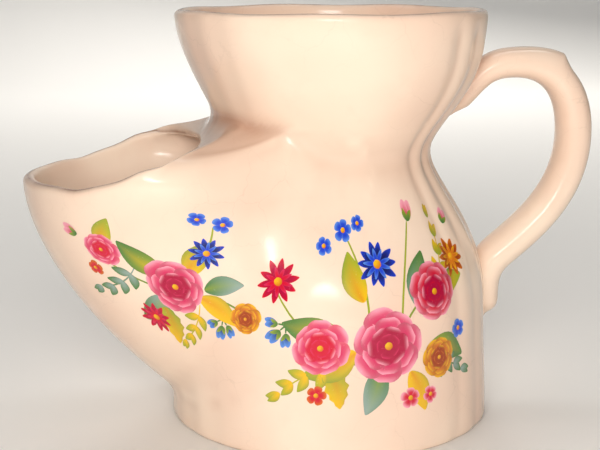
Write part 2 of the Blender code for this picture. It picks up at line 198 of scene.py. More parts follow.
# Soap tray
TRAY_THICKNESS = 3.4 * MM
TRAY_DISH = 5 * MM
TRAY_LEDGE = 5 * MM
TRAY_SLOPE = 6 * MM
TRAY_BED = 0.9 * MM
TRAY_UNDERCUT = 0.8 * MM
TRAY_RIM_ROUND = 0.5 * MM
TRAY_COLUMNS = 96
CORNER_PASSES = 3
DRAIN_COUNT = 6
DRAIN_COLUMNS = 40
DRAIN_RING = 11.5 * MM
DRAIN_FLARE = 0.6 * MM
TRAY_SHARP_ANGLE = math.radians(40)

# Printed sprays: their middles as (angle from the spout, height), and the lift of their layers off the glaze
BELLY_SPRAY = (math.radians(98), 36 * MM)
FLANK_SPRAY = (math.radians(35), 44 * MM)
FLANK_SCALE = 0.88
SPRAY_SEED = 11
LEAF_LEVELS = 5
TOOTH_DEPTH = 0.22
EDGE_TINT = 0.8
RIB_TINT = 0.6
RIB_HALF_WIDTH = 0.1
PATCH_ROWS = 13
PATCH_COLUMNS = (-1, -0.94, -0.62, 0, 0.62, 0.94, 1)
LIFT = 0.08 * MM
LEVEL = 0.022 * MM
SLOPE_TURN = 0.01
SLOPE_RISE = 0.5 * MM
ARC_SAMPLES = 721

# Sizes of the glaze's and the print's patterns
WARM_PATCH = 35 * MM
CLOUD = 6 * MM
ORANGE_PEEL = 4 * MM
PEEL_DEPTH = 0.3 * MM
CRACK_CELL = 11 * MM
CRACK_BEND = 6 * MM
SPECK_SPACING = 9 * MM
PRINT_GRAIN = 0.6 * MM
GLAZE_IOR = 1.53

# Studio: the camera as it stands to the mug's axis, and the paper sweep behind the pot, in metres
CAMERA_LENS = 78.3
CAMERA_TURN = math.radians(-8)
CAMERA_TILT = math.radians(11.33)
CAMERA_DISTANCE = 0.35
CAMERA_SIDE = 0.0082
CAMERA_HEIGHT = 0.1215
SWEEP_HALF_SIZE = 2.5
SWEEP_FLAT_END = 0.9
SWEEP_BEND = 0.5
SWEEP_ROWS = 24
SWEEP_DROP = 0.00005
PAPER_ROUGHNESS = 0.9
LIGHT_AIM = (0, 0, 0.055)
WARM_WHITE = (1, 0.97, 0.93)
ROOM_WHITE = (1, 0.985, 0.97, 1)
ROOM_STRENGTH = 0.05


def linear(hex_colour):
    """An sRGB hex colour as linear red, green and blue."""
    srgb = [int(hex_colour[i : i + 2], 16) / 255 for i in (1, 3, 5)]
    return [c / 12.92 if c <= 0.04045 else ((c + 0.055) / 1.055) ** 2.4 for c in srgb]


def size_prop(name, description, default):
    """A length that a user would change, in metres."""
    return FloatProperty(
        name=name, description=description, default=default, min=0, unit="LENGTH", precision=5
    )


def colour_prop(name, description, hex_colour):
    """A colour that a user would change, given as sRGB hex."""
    return FloatVectorProperty(
        name=name, description=description, default=linear(hex_colour), min=0, max=1, subtype="COLOR"
    )


class ScuttleShape(bpy.types.PropertyGroup):
    """Sizes of the scuttle."""

    height: size_prop("Height", "Height of the rim above the foot", BODY_HIGH.z)
    rim_radius: size_prop("Rim radius", "Outside radius at the rim", 41.5 * MM)
    waist_radius: size_prop("Waist radius", "Outside radius at the waist", 26.9 * MM)
    waist_height: size_prop("Waist height", "Height of the narrowest place", 72.3 * MM)
    belly_radius: size_prop("Belly radius", "Outside radius of the drum", 42.4 * MM)
    belly_height: size_prop("Belly height", "Height at which the shoulder starts", 32 * MM)
    foot_radius: size_prop("Foot radius", "Outside radius at the foot", 43.5 * MM)
    wall: size_prop("Wall", "Thickness of the cast wall", 3.3 * MM)
    spout_reach: size_prop("Spout reach", "Distance of the lip from the mug's axis", 81.8 * MM)
    lip_height: size_prop("Lip height", "Height of the spout's lip", 67 * MM)
    mouth_half_width: size_prop("Mouth half width", "Half the width of the spout's mouth", 36.5 * MM)
    crease_height: size_prop("Crease height", "Height at which the roof meets the bowl", 83 * MM)
    flute_depth: size_prop("Flute depth", "Depth of the creases between the flutes", 0.8 * MM)
    handle_reach: size_prop("Handle reach", "Axis to the handle's back", HANDLE_HIGH.x - AXIS_X)
    handle_thickness: size_prop("Handle thickness", "Thickness of the strap in its plane", 9.5 * MM)
    handle_width: size_prop("Handle width", "Width across its plane", HANDLE_HIGH.y - HANDLE_LOW.y)
    spur_height: size_prop("Spur height", "How far the thumb spur stands out", 2 * MM)
    tray_height: size_prop("Tray height", "Height of the soap tray's ledge", TRAY_HIGH.z)
    tray_radius: size_prop("Tray radius", "Radius of the soap tray's ledge", (TRAY_HIGH.x - TRAY_LOW.x) / 2)
    drain_radius: size_prop("Drain radius", "Radius of a drain hole", 2.6 * MM)


class ScuttleColours(bpy.types.PropertyGroup):
    """Colours of the glaze, the print and the studio."""

    ivory: colour_prop("Ivory", "Glaze over pale clay", "#F4DDC7")
    blush: colour_prop("Blush", "Warmer patches of the glaze", "#E9C4AE")
    # Colour of glaze that pools in the crease under the bowl and in hollows, and of painted shade in the same
    # places
    pooled: colour_prop("Pooled glaze", "Glaze lying thick in a crease", "#B98A70")
    lip_line: colour_prop("Lip line", "Clay that shows where glaze runs thin on an edge", "#7A4728")
    crackle: colour_prop("Crackle", "Stained cracks in the glaze", "#B89A84")
    speck: colour_prop("Speck", "Iron specks in the clay", "#6E4A33")
    deep_pink: colour_prop("Deep pink", "Heart of a bloom", "#A80E3A")
    mid_pink: colour_prop("Mid pink", "Petals of a bloom", "#D2305F")
    pale_pink: colour_prop("Pale pink", "Edges of a petal", "#F3A6B7")
    crimson: colour_prop("Crimson", "Red blooms and buds", "#CC1030")
    cobalt: colour_prop("Cobalt", "Blue daisies", "#2340C4")
    sky: colour_prop("Sky blue", "Small five-petalled flowers", "#5C8FDE")
    navy: colour_prop("Navy", "Shaded side of blue flowers", "#1B1F5A")
    gold: colour_prop("Gold", "Yellow leaves and eyes", "#E9B81E")
    lime: colour_prop("Lime", "Young leaves", "#9AA630")
    green: colour_prop("Green", "Leaves", "#4F7A3C")
    slate: colour_prop("Slate green", "Shaded leaves", "#8FA39A")
    amber: colour_prop("Amber", "Orange blooms and eyes", "#CF6F1E")
    rust: colour_prop("Rust", "Heart of an orange bloom", "#9C3A12")
    floor: colour_prop("Floor", "Studio floor and backdrop", "#F4F2EE")


def smooth_step(share):
    """0 below 0, 1 above 1, and an S-shaped rise between: 3 shares squared less 2 shares cubed."""
    share = np.clip(share, 0, 1)
    return share * share * (3 - 2 * share)


def rounded_join(first, second, size):
    """The larger of two radii, with the corner where they cross filled by a parabola of about that size."""
    overlap = np.maximum(1 - np.abs(first - second) / np.maximum(size, TINY), 0)
    return np.maximum(first, second) + overlap**2 * size / 4


def bezier(start, first_pull, second_pull, end, count=CURVE_POINTS):
    """Points of a cubic Bezier curve: the four places weighted by the Bernstein polynomials."""
    t = np.linspace(0, 1, count)
    weights = np.stack([(1 - t) ** 3, 3 * (1 - t) ** 2 * t, 3 * (1 - t) * t**2, t**3], axis=1)
    return weights @ np.array([start, first_pull, second_pull, end], float)


class Pot:
    """The scuttle's outside in formulas: its radius off the mug's axis by angle off the spout and height."""

    def __init__(self, shape):
        self.shape = shape
        self.lip_rise = shape.wall * LIP_ROUND
        self.turned = self.turned_outline()
        self.keel = self.keel_outline()
        self.angles, self.lower, self.upper = self.half_columns()
        self.miss = self.lower[0] - self.skin(self.angles, self.lower[1])

    def turned_outline(self):
        """(radius, height) from foot to rim: three Bezier curves, upright at foot, belly, waist and rim."""
        p = self.shape
        foot, belly, waist, rim = p.foot_radius, p.belly_radius, p.waist_radius, p.rim_radius
        drum = bezier(
            (foot, 0), (foot, p.belly_height / 3), (belly, p.belly_height * 2 / 3), (belly, p.belly_height)
        )
        shoulder = bezier(
            (belly, p.belly_height),
            (belly, p.belly_height + BELLY_PULL),
            (waist, p.waist_height - UNDER_WAIST_PULL),
            (waist, p.waist_height),
        )
        bowl = bezier(
            (waist, p.waist_height),
            (waist, p.waist_height + OVER_WAIST_PULL),
            (rim, p.height - RIM_PULL),
            (rim, p.height),
        )
        return np.vstack([drum, shoulder[1:], bowl[1:]])

    def turned_radius(self, height):
        """Outside radius of the plain mug at a height."""
        return np.interp(height, self.turned[:, 1], self.turned[:, 0])

    def keel_outline(self):
        """(reach, height) of the spout's foremost line: a Bezier from mug to lip, straight below it."""
        start = np.array((self.turned_radius(KEEL_HEIGHT), KEEL_HEIGHT))
        rise = np.array((math.cos(KEEL_ANGLE), math.sin(KEEL_ANGLE)))
        lip = np.array((self.shape.spout_reach, self.shape.lip_height))
        sweep = bezier(start, start + KEEL_PULL * rise, lip - (0, NOSE_PULL), lip)
        return np.vstack([start - rise * KEEL_HEIGHT / rise[1], sweep])

    def body_radius(self, angle, height):
        """At each level the mug's circle and the nose circle, with straight flanks and a rounded valley."""
        p = self.shape
        mug = self.turned_radius(height)
        reach = np.interp(height, self.keel[:, 1], self.keel[:, 0])
        share = np.clip((height - KEEL_HEIGHT) / (p.lip_height - KEEL_HEIGHT), 0, 1)
        tuck = np.maximum(height - p.lip_height - SHOULDER_RISE, 0) ** 2 / (2 * SHOULDER_ROUND)
        nose = KEEL_NOSE_RADIUS + (p.mouth_half_width - KEEL_NOSE_RADIUS) * share**NOSE_GROWTH - tuck
        centre = reach - nose
        core = mug - VALLEY_DEPTH
        lean = np.arcsin(np.clip((core - nose) / centre, -1, 1))
        nose_touch = np.arctan2(nose * np.cos(lean), centre + nose * np.sin(lean))
        mug_touch = math.pi / 2 - lean
        arc = centre * np.cos(angle) + np.sqrt(np.maximum(nose**2 - (centre * np.sin(angle)) ** 2, 0))
        flank = core / np.sin(np.clip(angle + lean, nose_touch + lean, math.pi / 2))
        spout = np.where(angle < nose_touch, arc, flank)
        spout = np.where(core - nose >= centre, reach, spout)
        spout = spout - VALLEY_FALL * np.maximum(angle - mug_touch, 0)
        return rounded_join(mug, spout, VALLEY_ROUND)

    def flutes(self, angle, height):
        """Depth of the creases: a cosine squared, sharpened by the square of one less a sine's size.

        They grow shallower to the foot and fade below the rim. The swells are raised cosines, and the fine
        flutes of the nose are the square of one less a cosine's size.
        """
        p = self.shape
        turns = math.pi * np.interp(angle, CREASES, CREASE_TURNS)
        sharp = (1 - np.abs(np.sin(turns))) ** 2
        crisp = SOFT_CREASE_SHARE * np.cos(turns) ** 2 + (1 - SOFT_CREASE_SHARE) * sharp
        up = smooth_step((height - CREASE_RISE_START) / CREASE_RISE_RUN)
        crisp = crisp * (FOOT_CREASE_SHARE + (1 - FOOT_CREASE_SHARE) * up)
        to_rim = smooth_step((height - p.height + RIM_FADE_START) / RIM_FADE_RUN)
        crisp = crisp * (1 - RIM_FADE_SHARE * to_rim)

        above = smooth_step((height - p.waist_height - SWELL_OVER_WAIST) / SWELL_RUN)
        clear = np.maximum(above, 1 - smooth_step((height - LOW_SWELL_END) / LOW_SWELL_RUN))
        fades = angle * SWELL_FADES_PER_RADIAN
        in_front = smooth_step(fades - 1) * smooth_step(5 - fades)
        wave = 0.5 + 0.5 * np.cos(math.tau * (angle / SWELL_PITCH - SWELL_PHASE))
        swell = SWELL_SHARE * wave * in_front * clear

        nose = (1 - np.abs(np.cos(math.pi * angle / NOSE_FLUTE_PITCH))) ** 2
        nose = NOSE_FLUTE_SHARE * nose * smooth_step((NOSE_FLUTE_END - angle) / NOSE_FLUTE_FADE)
        nose = nose * smooth_step((height - NOSE_FLUTE_START) / NOSE_FLUTE_RUN) * (1 - above)
        return p.flute_depth * (crisp + swell + nose)

    def skin(self, angle, height):
        """The body's radius with its flutes."""
        return self.body_radius(angle, height) - self.flutes(angle, height)

    def mouth_edge(self, turn):
        """(forward, sideways, height) of the mouth's edge: a superellipse in plan, rising and scalloped."""
        p = self.shape
        in_front = np.cos(turn) > 0
        power = 2 / np.where(in_front, LIP_SQUARENESS, NECK_SQUARENESS)
        end = np.where(in_front, p.spout_reach, MOUTH_NECK_END)
        forward = MOUTH_MIDDLE + (end - MOUTH_MIDDLE) * np.abs(np.cos(turn)) ** power
        sideways = p.mouth_half_width * np.abs(np.sin(turn)) ** power
        level_end = p.spout_reach - MOUTH_LEVEL
        rise = smooth_step((level_end - forward) / (level_end - MOUTH_NECK_END))
        scallop = SCALLOP_DEPTH * np.cos(2 * math.pi * forward / SCALLOP_PITCH) * np.sin(turn) ** 2
        return forward, sideways, p.lip_height + MOUTH_RISE * rise + scallop

    def half_columns(self):
        """Angles from spout to handle, and the (radius, height) edges of the belly below and the roof above.

        In front of the mouth's widest angle the edges lie across the mouth from each other, each drawn back
        by the rise of its rounded lip. Past it they are one line, a ridge that climbs to the neck.
        """
        p = self.shape
        turn = np.linspace(0, math.pi, EDGE_SAMPLES)
        forward, sideways, height = self.mouth_edge(turn)
        angle = np.arctan2(sideways, forward)
        widest = int(np.argmax(angle))

        share = np.linspace(0, 1, MOUTH_COLUMNS + 1)
        lip_forward, lip_sideways, lip_height = self.mouth_edge(turn[widest] * share**MOUTH_COLUMN_GROWTH)
        front = np.arctan2(lip_sideways, lip_forward)
        drawn_back = self.lip_rise * (1 - share**4)
        across = self.mouth_edge(np.interp(front, angle[widest:][::-1], turn[widest:][::-1]))

        side = np.linspace(angle[widest], math.pi, SIDE_COLUMNS + 1)[1:]
        past = side - angle[widest]
        fade = 1 - smooth_step(past / (ROOF_HALF_ANGLE - angle[widest]))
        side_height = RIDGE_HEIGHT + (height[widest] - RIDGE_HEIGHT) * fade
        miss = math.hypot(forward[widest], sideways[widest]) - self.skin(angle[widest], height[widest])
        mug = self.turned_radius(side_height) - self.flutes(side, side_height)
        shoulder = self.skin(side, side_height) + miss * (1 - smooth_step(past / MOUTH_CORNER))
        side_radius = mug + (shoulder - mug) * np.sqrt(fade)

        lower = np.concatenate([np.hypot(lip_forward, lip_sideways), side_radius])
        lower_height = np.concatenate([lip_height - drawn_back, side_height])
        upper = np.concatenate([np.hypot(across[0], across[1]) - 0.8 * drawn_back, side_radius])
        upper_height = np.concatenate([across[2] + 0.5 * drawn_back, side_height])
        return np.concatenate([front, side]), (lower, lower_height), (upper, upper_height)

    def belly_radius(self, angle, height):
        """The skin below the mouth and the waist, drawn to the mouth's edge by a high power of the height."""
        edge = np.interp(angle, self.angles, self.lower[1])
        miss = np.interp(angle, self.angles, self.miss)
        return self.skin(angle, height) + miss * np.clip(height / edge, 0, 1) ** LIP_BLEND

    def crease_height(self, angle, edge_height):
        """Height at which the roof meets the bowl. It falls off as a quarter ellipse to each side."""
        open_share = np.sqrt(np.maximum(1 - (angle / ROOF_HALF_ANGLE) ** 2, 0))
        return edge_height + (self.shape.crease_height - edge_height) * open_share

    def crease_share(self, points):
        """How near points are to the crease of roof and bowl: a bell over the height, less to each side."""
        x = points[:, 0] - AXIS_X - self.lean(points[:, 2])
        angle = np.arctan2(np.abs(points[:, 1]), -x)
        edge = np.interp(angle, self.angles, self.upper[1])
        crease = self.crease_height(angle, edge)
        open_share = (crease - edge) / (self.shape.crease_height - edge)
        above = np.maximum(points[:, 2] - crease, 0) / POOL_AND_SHADE_OVER_CREASE
        below = np.maximum(crease - points[:, 2], 0) / np.maximum(crease - edge, TINY)
        return open_share**POOL_AND_SHADE_TAPER * np.exp(-(above**2) - below**2)

    def evened(self):
        """The columns' angles evenly spaced, for rows away from the mouth."""
        return np.linspace(0, math.pi, len(self.angles))

    def foot_rows(self):
        """(angle, radius, height) rows under the foot: the recess, its edge and the standing ring."""
        ring = self.shape.foot_radius - FOOT_RING_WIDTH
        edge = self.shape.foot_radius
        radius = np.array((0, 0.3, 0.6, 0.9, 1)) * (ring - 2 * FOOT_RECESS)
        standing = (ring - FOOT_RECESS, ring, ring + FOOT_RING_ROUND, edge - FOOT_EDGE_ROUND)
        radius = np.concatenate([radius, standing])
        height = np.array((1, 1, 1, 1, 1, 0.5, 0.1, 0, 0)) * FOOT_RECESS
        rows = np.broadcast_to(radius[:, None], (len(radius), len(self.angles)))
        side = self.skin(self.evened(), np.array(FOOT_EDGE))
        height = np.concatenate([height, [0.2 * FOOT_EDGE, FOOT_EDGE]])
        rows = np.vstack([rows, side - 0.4 * FOOT_EDGE, side])
        return np.broadcast_arrays(self.evened(), rows, height[:, None])

    def belly_rows(self):
        """(angle, radius, height) rows from the foot up to the mouth's lip and, behind it, to the waist."""
        share = np.linspace(0, 1, BELLY_ROWS + 1)[:, None]
        height = FOOT_EDGE + share * (self.lower[1] - FOOT_EDGE)
        spread = (self.evened() - self.angles) * smooth_step((1 - share) * EVENING_SPEED)
        angles = self.angles + spread
        radius = self.skin(angles, height) + self.miss * share**LIP_BLEND
        return angles, radius, height

    def bowl_rows(self):
        """(angle, radius, height) rows over the hollow roof of the spout and up the bowl to the rim."""
        edge = self.upper
        wave = 0.5 + 0.5 * np.cos(RIM_WAVES * self.evened())
        rim = self.shape.height - self.lip_rise - RIM_WAVE * wave
        roof_end = np.maximum(self.crease_height(self.evened(), edge[1]), edge[1] + ROOF_ROW_RISE)
        roof_share = np.linspace(0, 1, ROOF_ROWS + 1)[:, None]
        bowl_share = np.linspace(0, 1, BOWL_ROWS + 1)[1:, None] ** BOWL_ROW_GROWTH
        roof_height = edge[1] + roof_share * (roof_end - edge[1])
        height = np.vstack([roof_height, roof_end + bowl_share * (rim - roof_end)])
        spread = np.vstack([np.sqrt(roof_share), np.ones_like(bowl_share)])
        angles = self.angles + (self.evened() - self.angles) * spread

        crease = self.crease_height(angles, edge[1])
        left = np.clip((crease - height) / np.maximum(crease - edge[1], TINY), -ROOF_RUN_ON, 1)
        fall = 1 - (1 - left) ** ROOF_HOLLOW
        meets = self.turned_radius(crease)
        roof = meets + (edge[0] - meets) * fall
        open_share = (crease - edge[1]) / (self.shape.crease_height - edge[1])
        radius = rounded_join(roof, self.turned_radius(height), CREASE_ROUND * open_share)
        radius = radius - self.flutes(angles, height)
        return angles, np.vstack([edge[0], radius[1:]]), height

    def lean(self, height):
        """How far a level of the bowl is shifted to the handle: a sine squared from waist to rim."""
        p = self.shape
        share = np.clip((height - p.waist_height) / (p.height - p.waist_height), 0, 1)
        return BOWL_LEAN * np.sin(math.pi * share) ** 2

    def on_mug(self, angle, radius, height, side):
        """World points from an angle off the spout on the near (-1) or far (+1) side."""
        x = AXIS_X + self.lean(height) - radius * np.cos(angle)
        return np.stack(np.broadcast_arrays(x, side * radius * np.sin(angle), height), axis=-1)


def band_quads(rows, columns):
    """Corners of the quads round a closed grid, facing out where columns run clockwise from above."""
    row, column = np.meshgrid(np.arange(rows - 1), np.arange(columns), indexing="ij")
    here = row * columns + column
    beside = row * columns + (column + 1) % columns
    return np.stack([here, here + columns, beside + columns, beside], axis=-1).reshape(-1, 4)


def weld(points, quads):
    """Points and quads with coincident points made one, and quads that have lost their area dropped."""
    steps = np.round(points / WELD_DISTANCE)
    _, first, index = np.unique(steps, axis=0, return_index=True, return_inverse=True)
    quads = index.reshape(-1)[quads]
    corners = 1 + (np.diff(np.sort(quads, axis=1), axis=1) > 0).sum(axis=1)
    return points[first], quads[corners > 2]


def mean_of_neighbours(values, edges, count):
    """The mean of each point's own value and its neighbours' along the edges."""
    ends = np.concatenate([edges, edges[:, ::-1]])
    total = values.copy()
    for axis in range(values.shape[1]):
        total[:, axis] += np.bincount(ends[:, 0], values[ends[:, 1], axis], count)
    return total / (1 + np.bincount(ends[:, 0], minlength=count))[:, None]


def unit(vectors):
    """Vectors scaled to a length of 1."""
    return vectors / np.maximum(np.linalg.norm(vectors, axis=-1, keepdims=True), TINY)


def point_normals(points, quads):
    """Each point's normal: the sum of its quads' normals, which are the cross products of their diagonals."""
    corners = points[quads]
    normals = np.cross(corners[:, 2] - corners[:, 0], corners[:, 3] - corners[:, 1])
    total = np.zeros_like(points)
    for corner in range(4):
        np.add.at(total, quads[:, corner], normals)
    return unit(total)


def cast_wall(points, quads, wall, lip_rise):
    """A closed wall from its outside: an inside offset by smoothed normals, and half-round lips between them.

    Returns points, faces and, for each point, how near it is to a lip's crown and how hollow the wall is.
    """
    count = len(points)
    edges = np.concatenate([quads[:, (i, (i + 1) % 4)] for i in range(4)])
    edges = edges[edges[:, 0] != edges[:, 1]]
    pairs = np.unique(np.sort(edges, axis=1), axis=0)
    normals = point_normals(points, quads)
    bend = ((mean_of_neighbours(points, pairs, count) - points) * normals).sum(axis=1, keepdims=True)
    offsets = normals * wall
    for _ in range(OFFSET_PASSES):
        offsets = mean_of_neighbours(offsets, pairs, count)
    offsets = unit(offsets) * wall
    offsets[points[:, 2] > points[:, 2].max() - lip_rise, 2] = 0
    inside = points - offsets

    forth = edges[:, 0] * count + edges[:, 1]
    back = edges[:, 1] * count + edges[:, 0]
    rim = edges[~np.isin(forth, back)]
    lip_points = np.unique(rim)
    place = np.full(count, -1)
    place[lip_points] = np.arange(len(lip_points))
    centres = points[quads].mean(axis=1)
    total = np.zeros_like(points)
    number = np.zeros(count)
    for corner in range(4):
        np.add.at(total, quads[:, corner], centres)
        np.add.at(number, quads[:, corner], 1)
    outwards = points - total / number[:, None]
    middle = (points[lip_points] + inside[lip_points]) / 2
    half = points[lip_points] - middle
    across = unit(half)
    up = outwards[lip_points]
    up = unit(up - (up * across).sum(axis=1, keepdims=True) * across)
    theta = np.linspace(0, math.pi, LIP_ROWS + 2)[1:-1]
    lips = [middle + half * math.cos(t) + up * lip_rise * math.sin(t) for t in theta]

    rows = [np.arange(count)[lip_points]]
    rows += [2 * count + i * len(lip_points) + np.arange(len(lip_points)) for i in range(LIP_ROWS)]
    rows.append(count + lip_points)
    starts, ends = place[rim[:, 0]], place[rim[:, 1]]
    lip_quads = [np.stack([a[ends], a[starts], b[starts], b[ends]], axis=1) for a, b in zip(rows, rows[1:])]
    faces = np.vstack([quads, quads[:, ::-1] + count, *lip_quads])
    worn = np.exp(-(((theta - CROWN_MIDDLE) / CROWN_SPREAD) ** 2))
    crown = np.concatenate([np.zeros(2 * count), np.repeat(worn, len(lip_points))])
    hollow = np.concatenate([bend[:, 0], np.zeros(count + LIP_ROWS * len(lip_points))])
    return np.vstack([points, inside, *lips]), faces, crown, hollow


def new_object(name, points, quads, material):
    """A smooth mesh object at the origin. A quad's corner that repeats the one before it is left out."""
    kept = quads != np.roll(quads, 1, axis=1)
    sizes = kept.sum(axis=1)
    mesh = bpy.data.meshes.new(name)
    mesh.vertices.add(len(points))
    mesh.vertices.foreach_set("co", np.asarray(points, np.float32).ravel())
    mesh.loops.add(int(sizes.sum()))
    mesh.loops.foreach_set("vertex_index", quads[kept].astype(np.int32))
    mesh.polygons.add(len(quads))
    mesh.polygons.foreach_set("loop_start", (np.cumsum(sizes) - sizes).astype(np.int32))
    mesh.update(calc_edges=True)
    mesh.shade_smooth()
    mesh.materials.append(material)
    made = bpy.data.objects.new(name, mesh)
    bpy.context.scene.collection.objects.link(made)
    return made


def new_piece(name, points, quads, material, replaced=()):
    """A mesh object in the row's frame that rides with the scuttle."""
    piece = new_object(name, points, quads, material)
    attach(piece, "root")
    if replaced:
        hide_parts(*replaced)
    return piece


def subdivide(piece):
    """Rounds a piece off by one level of subdivision."""
    smooth = piece.modifiers.new("Smooth", "SUBSURF")
    smooth.levels = smooth.render_levels = 1


def add_values(piece, name, values):
    """A named number on each point of a piece."""
    attribute = piece.data.attributes.new(name, "FLOAT", "POINT")
    attribute.data.foreach_set("value", np.asarray(values, np.float32))


def add_node(tree, kind, settings=(), inputs=()):
    """A shader node with its settings, and with a value or another node's output on each input named."""
    node = tree.nodes.new(kind)
    for key, value in dict(settings).items():
        setattr(node, key, value)
    for key, value in dict(inputs).items():
        if isinstance(value, bpy.types.NodeSocket):
            tree.links.new(value, node.inputs[key])
        else:
            node.inputs[key].default_value = value
    return node


def earthenware_glaze(name, colours, with_lips):
    """Gloss glaze on ivory earthenware: warm and uneven, darker in creases from glaze that pools there and
    painted shade, thin on edges and crackled.
    """
    material = bpy.data.materials.new(name)
    material.use_nodes = True
    tree = material.node_tree
    shader = tree.nodes["Principled BSDF"]
    place = add_node(tree, "ShaderNodeTexCoord").outputs["Object"]

    # Broad warm patches, a finer cloud, and a slight orange peel that softens the glints
    broad, cloud, peel = (
        add_node(tree, "ShaderNodeTexNoise", (), {"Vector": place, "Scale": 1 / size, "Detail": detail})
        for size, detail in ((WARM_PATCH, 2), (CLOUD, 4), (ORANGE_PEEL, 1))
    )
    patchy, cloudy = broad.outputs["Fac"], cloud.outputs["Fac"]

    # Cracks, bent by the cloud and drawn wider than real ones so that they show, and sparse iron specks
    bend = enumerate((cloud.outputs["Color"], (CRACK_BEND,) * 3, place))
    bent = add_node(tree, "ShaderNodeVectorMath", {"operation": "MULTIPLY_ADD"}, bend).outputs[0]
    cells, specks = (
        add_node(tree, "ShaderNodeTexVoronoi", {"feature": feature}, {"Vector": at, "Scale": 1 / size})
        for feature, at, size in (("DISTANCE_TO_EDGE", bent, CRACK_CELL), ("F1", place, SPECK_SPACING))
    )
    rare = add_node(tree, "ShaderNodeSeparateColor", (), {"Color": specks.outputs["Color"]})

    # Shares of the layers: an output, the range it is read in, and the range of shares that this becomes
    ranges = {
        "warm": (patchy, 0.35, 0.72, 0, 0.75),
        "clouded": (cloudy, 0.55, 0.8, 0, 0.18),
        "crack": (cells.outputs["Distance"], 0.003, 0.01, 1, 0),
        "faint": (patchy, 0.45, 0.62, 0, 0.16),
        "spot": (specks.outputs["Distance"], 0.03, 0.05, 0.85, 0),
        "chosen": (rare.outputs[0], 0.93, 0.94, 0, 1),
        "rough": (cloudy, 0.3, 0.7, 0.1, 0.2),
    }
    products = {"cracked": ("crack", "faint"), "specked": ("spot", "chosen")}
    layers = {
        "warm": colours.blush,
        "clouded": colours.blush,
        "cracked": colours.crackle,
        "specked": colours.speck,
    }
    share = {}
    # On the wall: darker creases and hollows, from glaze that pools there plus painted shade, and lips where
    # the glaze is worn thin
    if with_lips:
        for key in ("pooled", "crown"):
            share[key] = add_node(tree, "ShaderNodeAttribute", {"attribute_name": key}).outputs["Fac"]
        ranges["uneven"] = (cloudy, 0.3, 0.6, 0.45, 0.95)
        products["worn"] = ("crown", "uneven")
        layers.update(pooled=colours.pooled, worn=colours.lip_line)
    for key, values in ranges.items():
        share[key] = add_node(tree, "ShaderNodeMapRange", (), enumerate(values)).outputs["Result"]
    for key, (first, second) in products.items():
        factors = {0: share[first], 1: share[second]}
        share[key] = add_node(tree, "ShaderNodeMath", {"operation": "MULTIPLY"}, factors).outputs[0]
    colour = (*colours.ivory, 1)
    for key, layer in layers.items():
        inputs = {0: share[key], 6: colour, 7: (*layer, 1)}
        colour = add_node(tree, "ShaderNodeMix", {"data_type": "RGBA"}, inputs).outputs[2]

    relief = {"Height": peel.outputs["Fac"], "Strength": 0.12, "Distance": PEEL_DEPTH}
    bump = add_node(tree, "ShaderNodeBump", (), relief)
    tree.links.new(colour, shader.inputs["Base Color"])
    tree.links.new(share["rough"], shader.inputs["Roughness"])
    tree.links.new(bump.outputs["Normal"], shader.inputs["Normal"])
    shader.inputs["IOR"].default_value = GLAZE_IOR
    return material


def fired_enamel():
    """Overglaze transfer colours, fired on: each point's own tint, a little duller than the glaze."""
    material = bpy.data.materials.new("fired_enamel")
    material.use_nodes = True
    tree = material.node_tree
    shader = tree.nodes["Principled BSDF"]
    tint = add_node(tree, "ShaderNodeVertexColor", {"layer_name": "tint"})
    tree.links.new(tint.outputs["Color"], shader.inputs["Base Color"])

    # Grain of the print, which breaks up the gloss
    place = add_node(tree, "ShaderNodeTexCoord").outputs["Object"]
    grain = add_node(tree, "ShaderNodeTexNoise", (), {"Vector": place, "Scale": 1 / PRINT_GRAIN, "Detail": 3})
    spread = enumerate((grain.outputs["Fac"], 0.3, 0.7, 0.16, 0.28))
    rough = add_node(tree, "ShaderNodeMapRange", (), spread)
    tree.links.new(rough.outputs["Result"], shader.inputs["Roughness"])
    shader.inputs["IOR"].default_value = GLAZE_IOR
    return material


class SCUTTLE_OT_body(bpy.types.Operator):
    """Casts the mug and its spout as one wall with rounded lips"""

    bl_idname = "scuttle.body"
    bl_label = "Mug and spout"

    def execute(self, context):
        pot = Pot(context.scene.scuttle_shape)
        points, quads, first = [], [], 0
        for angle, radius, height in (pot.foot_rows(), pot.belly_rows(), pot.bowl_rows()):
            half = pot.on_mug(angle, radius, height, 1)
            grid = np.concatenate([half, half[:, -2:0:-1] * (1, -1, 1)], axis=1)
            quads.append(first + band_quads(*grid.shape[:2]))
            points.append(grid.reshape(-1, 3))
            first += len(points[-1])
        points, quads = weld(np.vstack(points), np.vstack(quads))
        crease = pot.crease_share(points)
        points, faces, crown, hollow = cast_wall(points, quads, pot.shape.wall, pot.lip_rise)
        glaze = earthenware_glaze("ivory_glaze_wall", context.scene.scuttle_colours, True)
        body = new_piece("scuttle_wall", points, faces, glaze, ["body"])
        add_values(body, "crown", crown)
        # Painted shade along with glaze that pools: darker in the wall's hollows, and over the roof up to the
        # crease under the bowl
        pooled = POOL_AND_SHADE_IN_HOLLOWS * np.clip(hollow / HOLLOW_FULL, 0, 1)
        pooled[: len(crease)] += POOL_AND_SHADE_IN_CREASE * crease
        add_values(body, "pooled", pooled)
        subdivide(body)
        return {"FINISHED"}


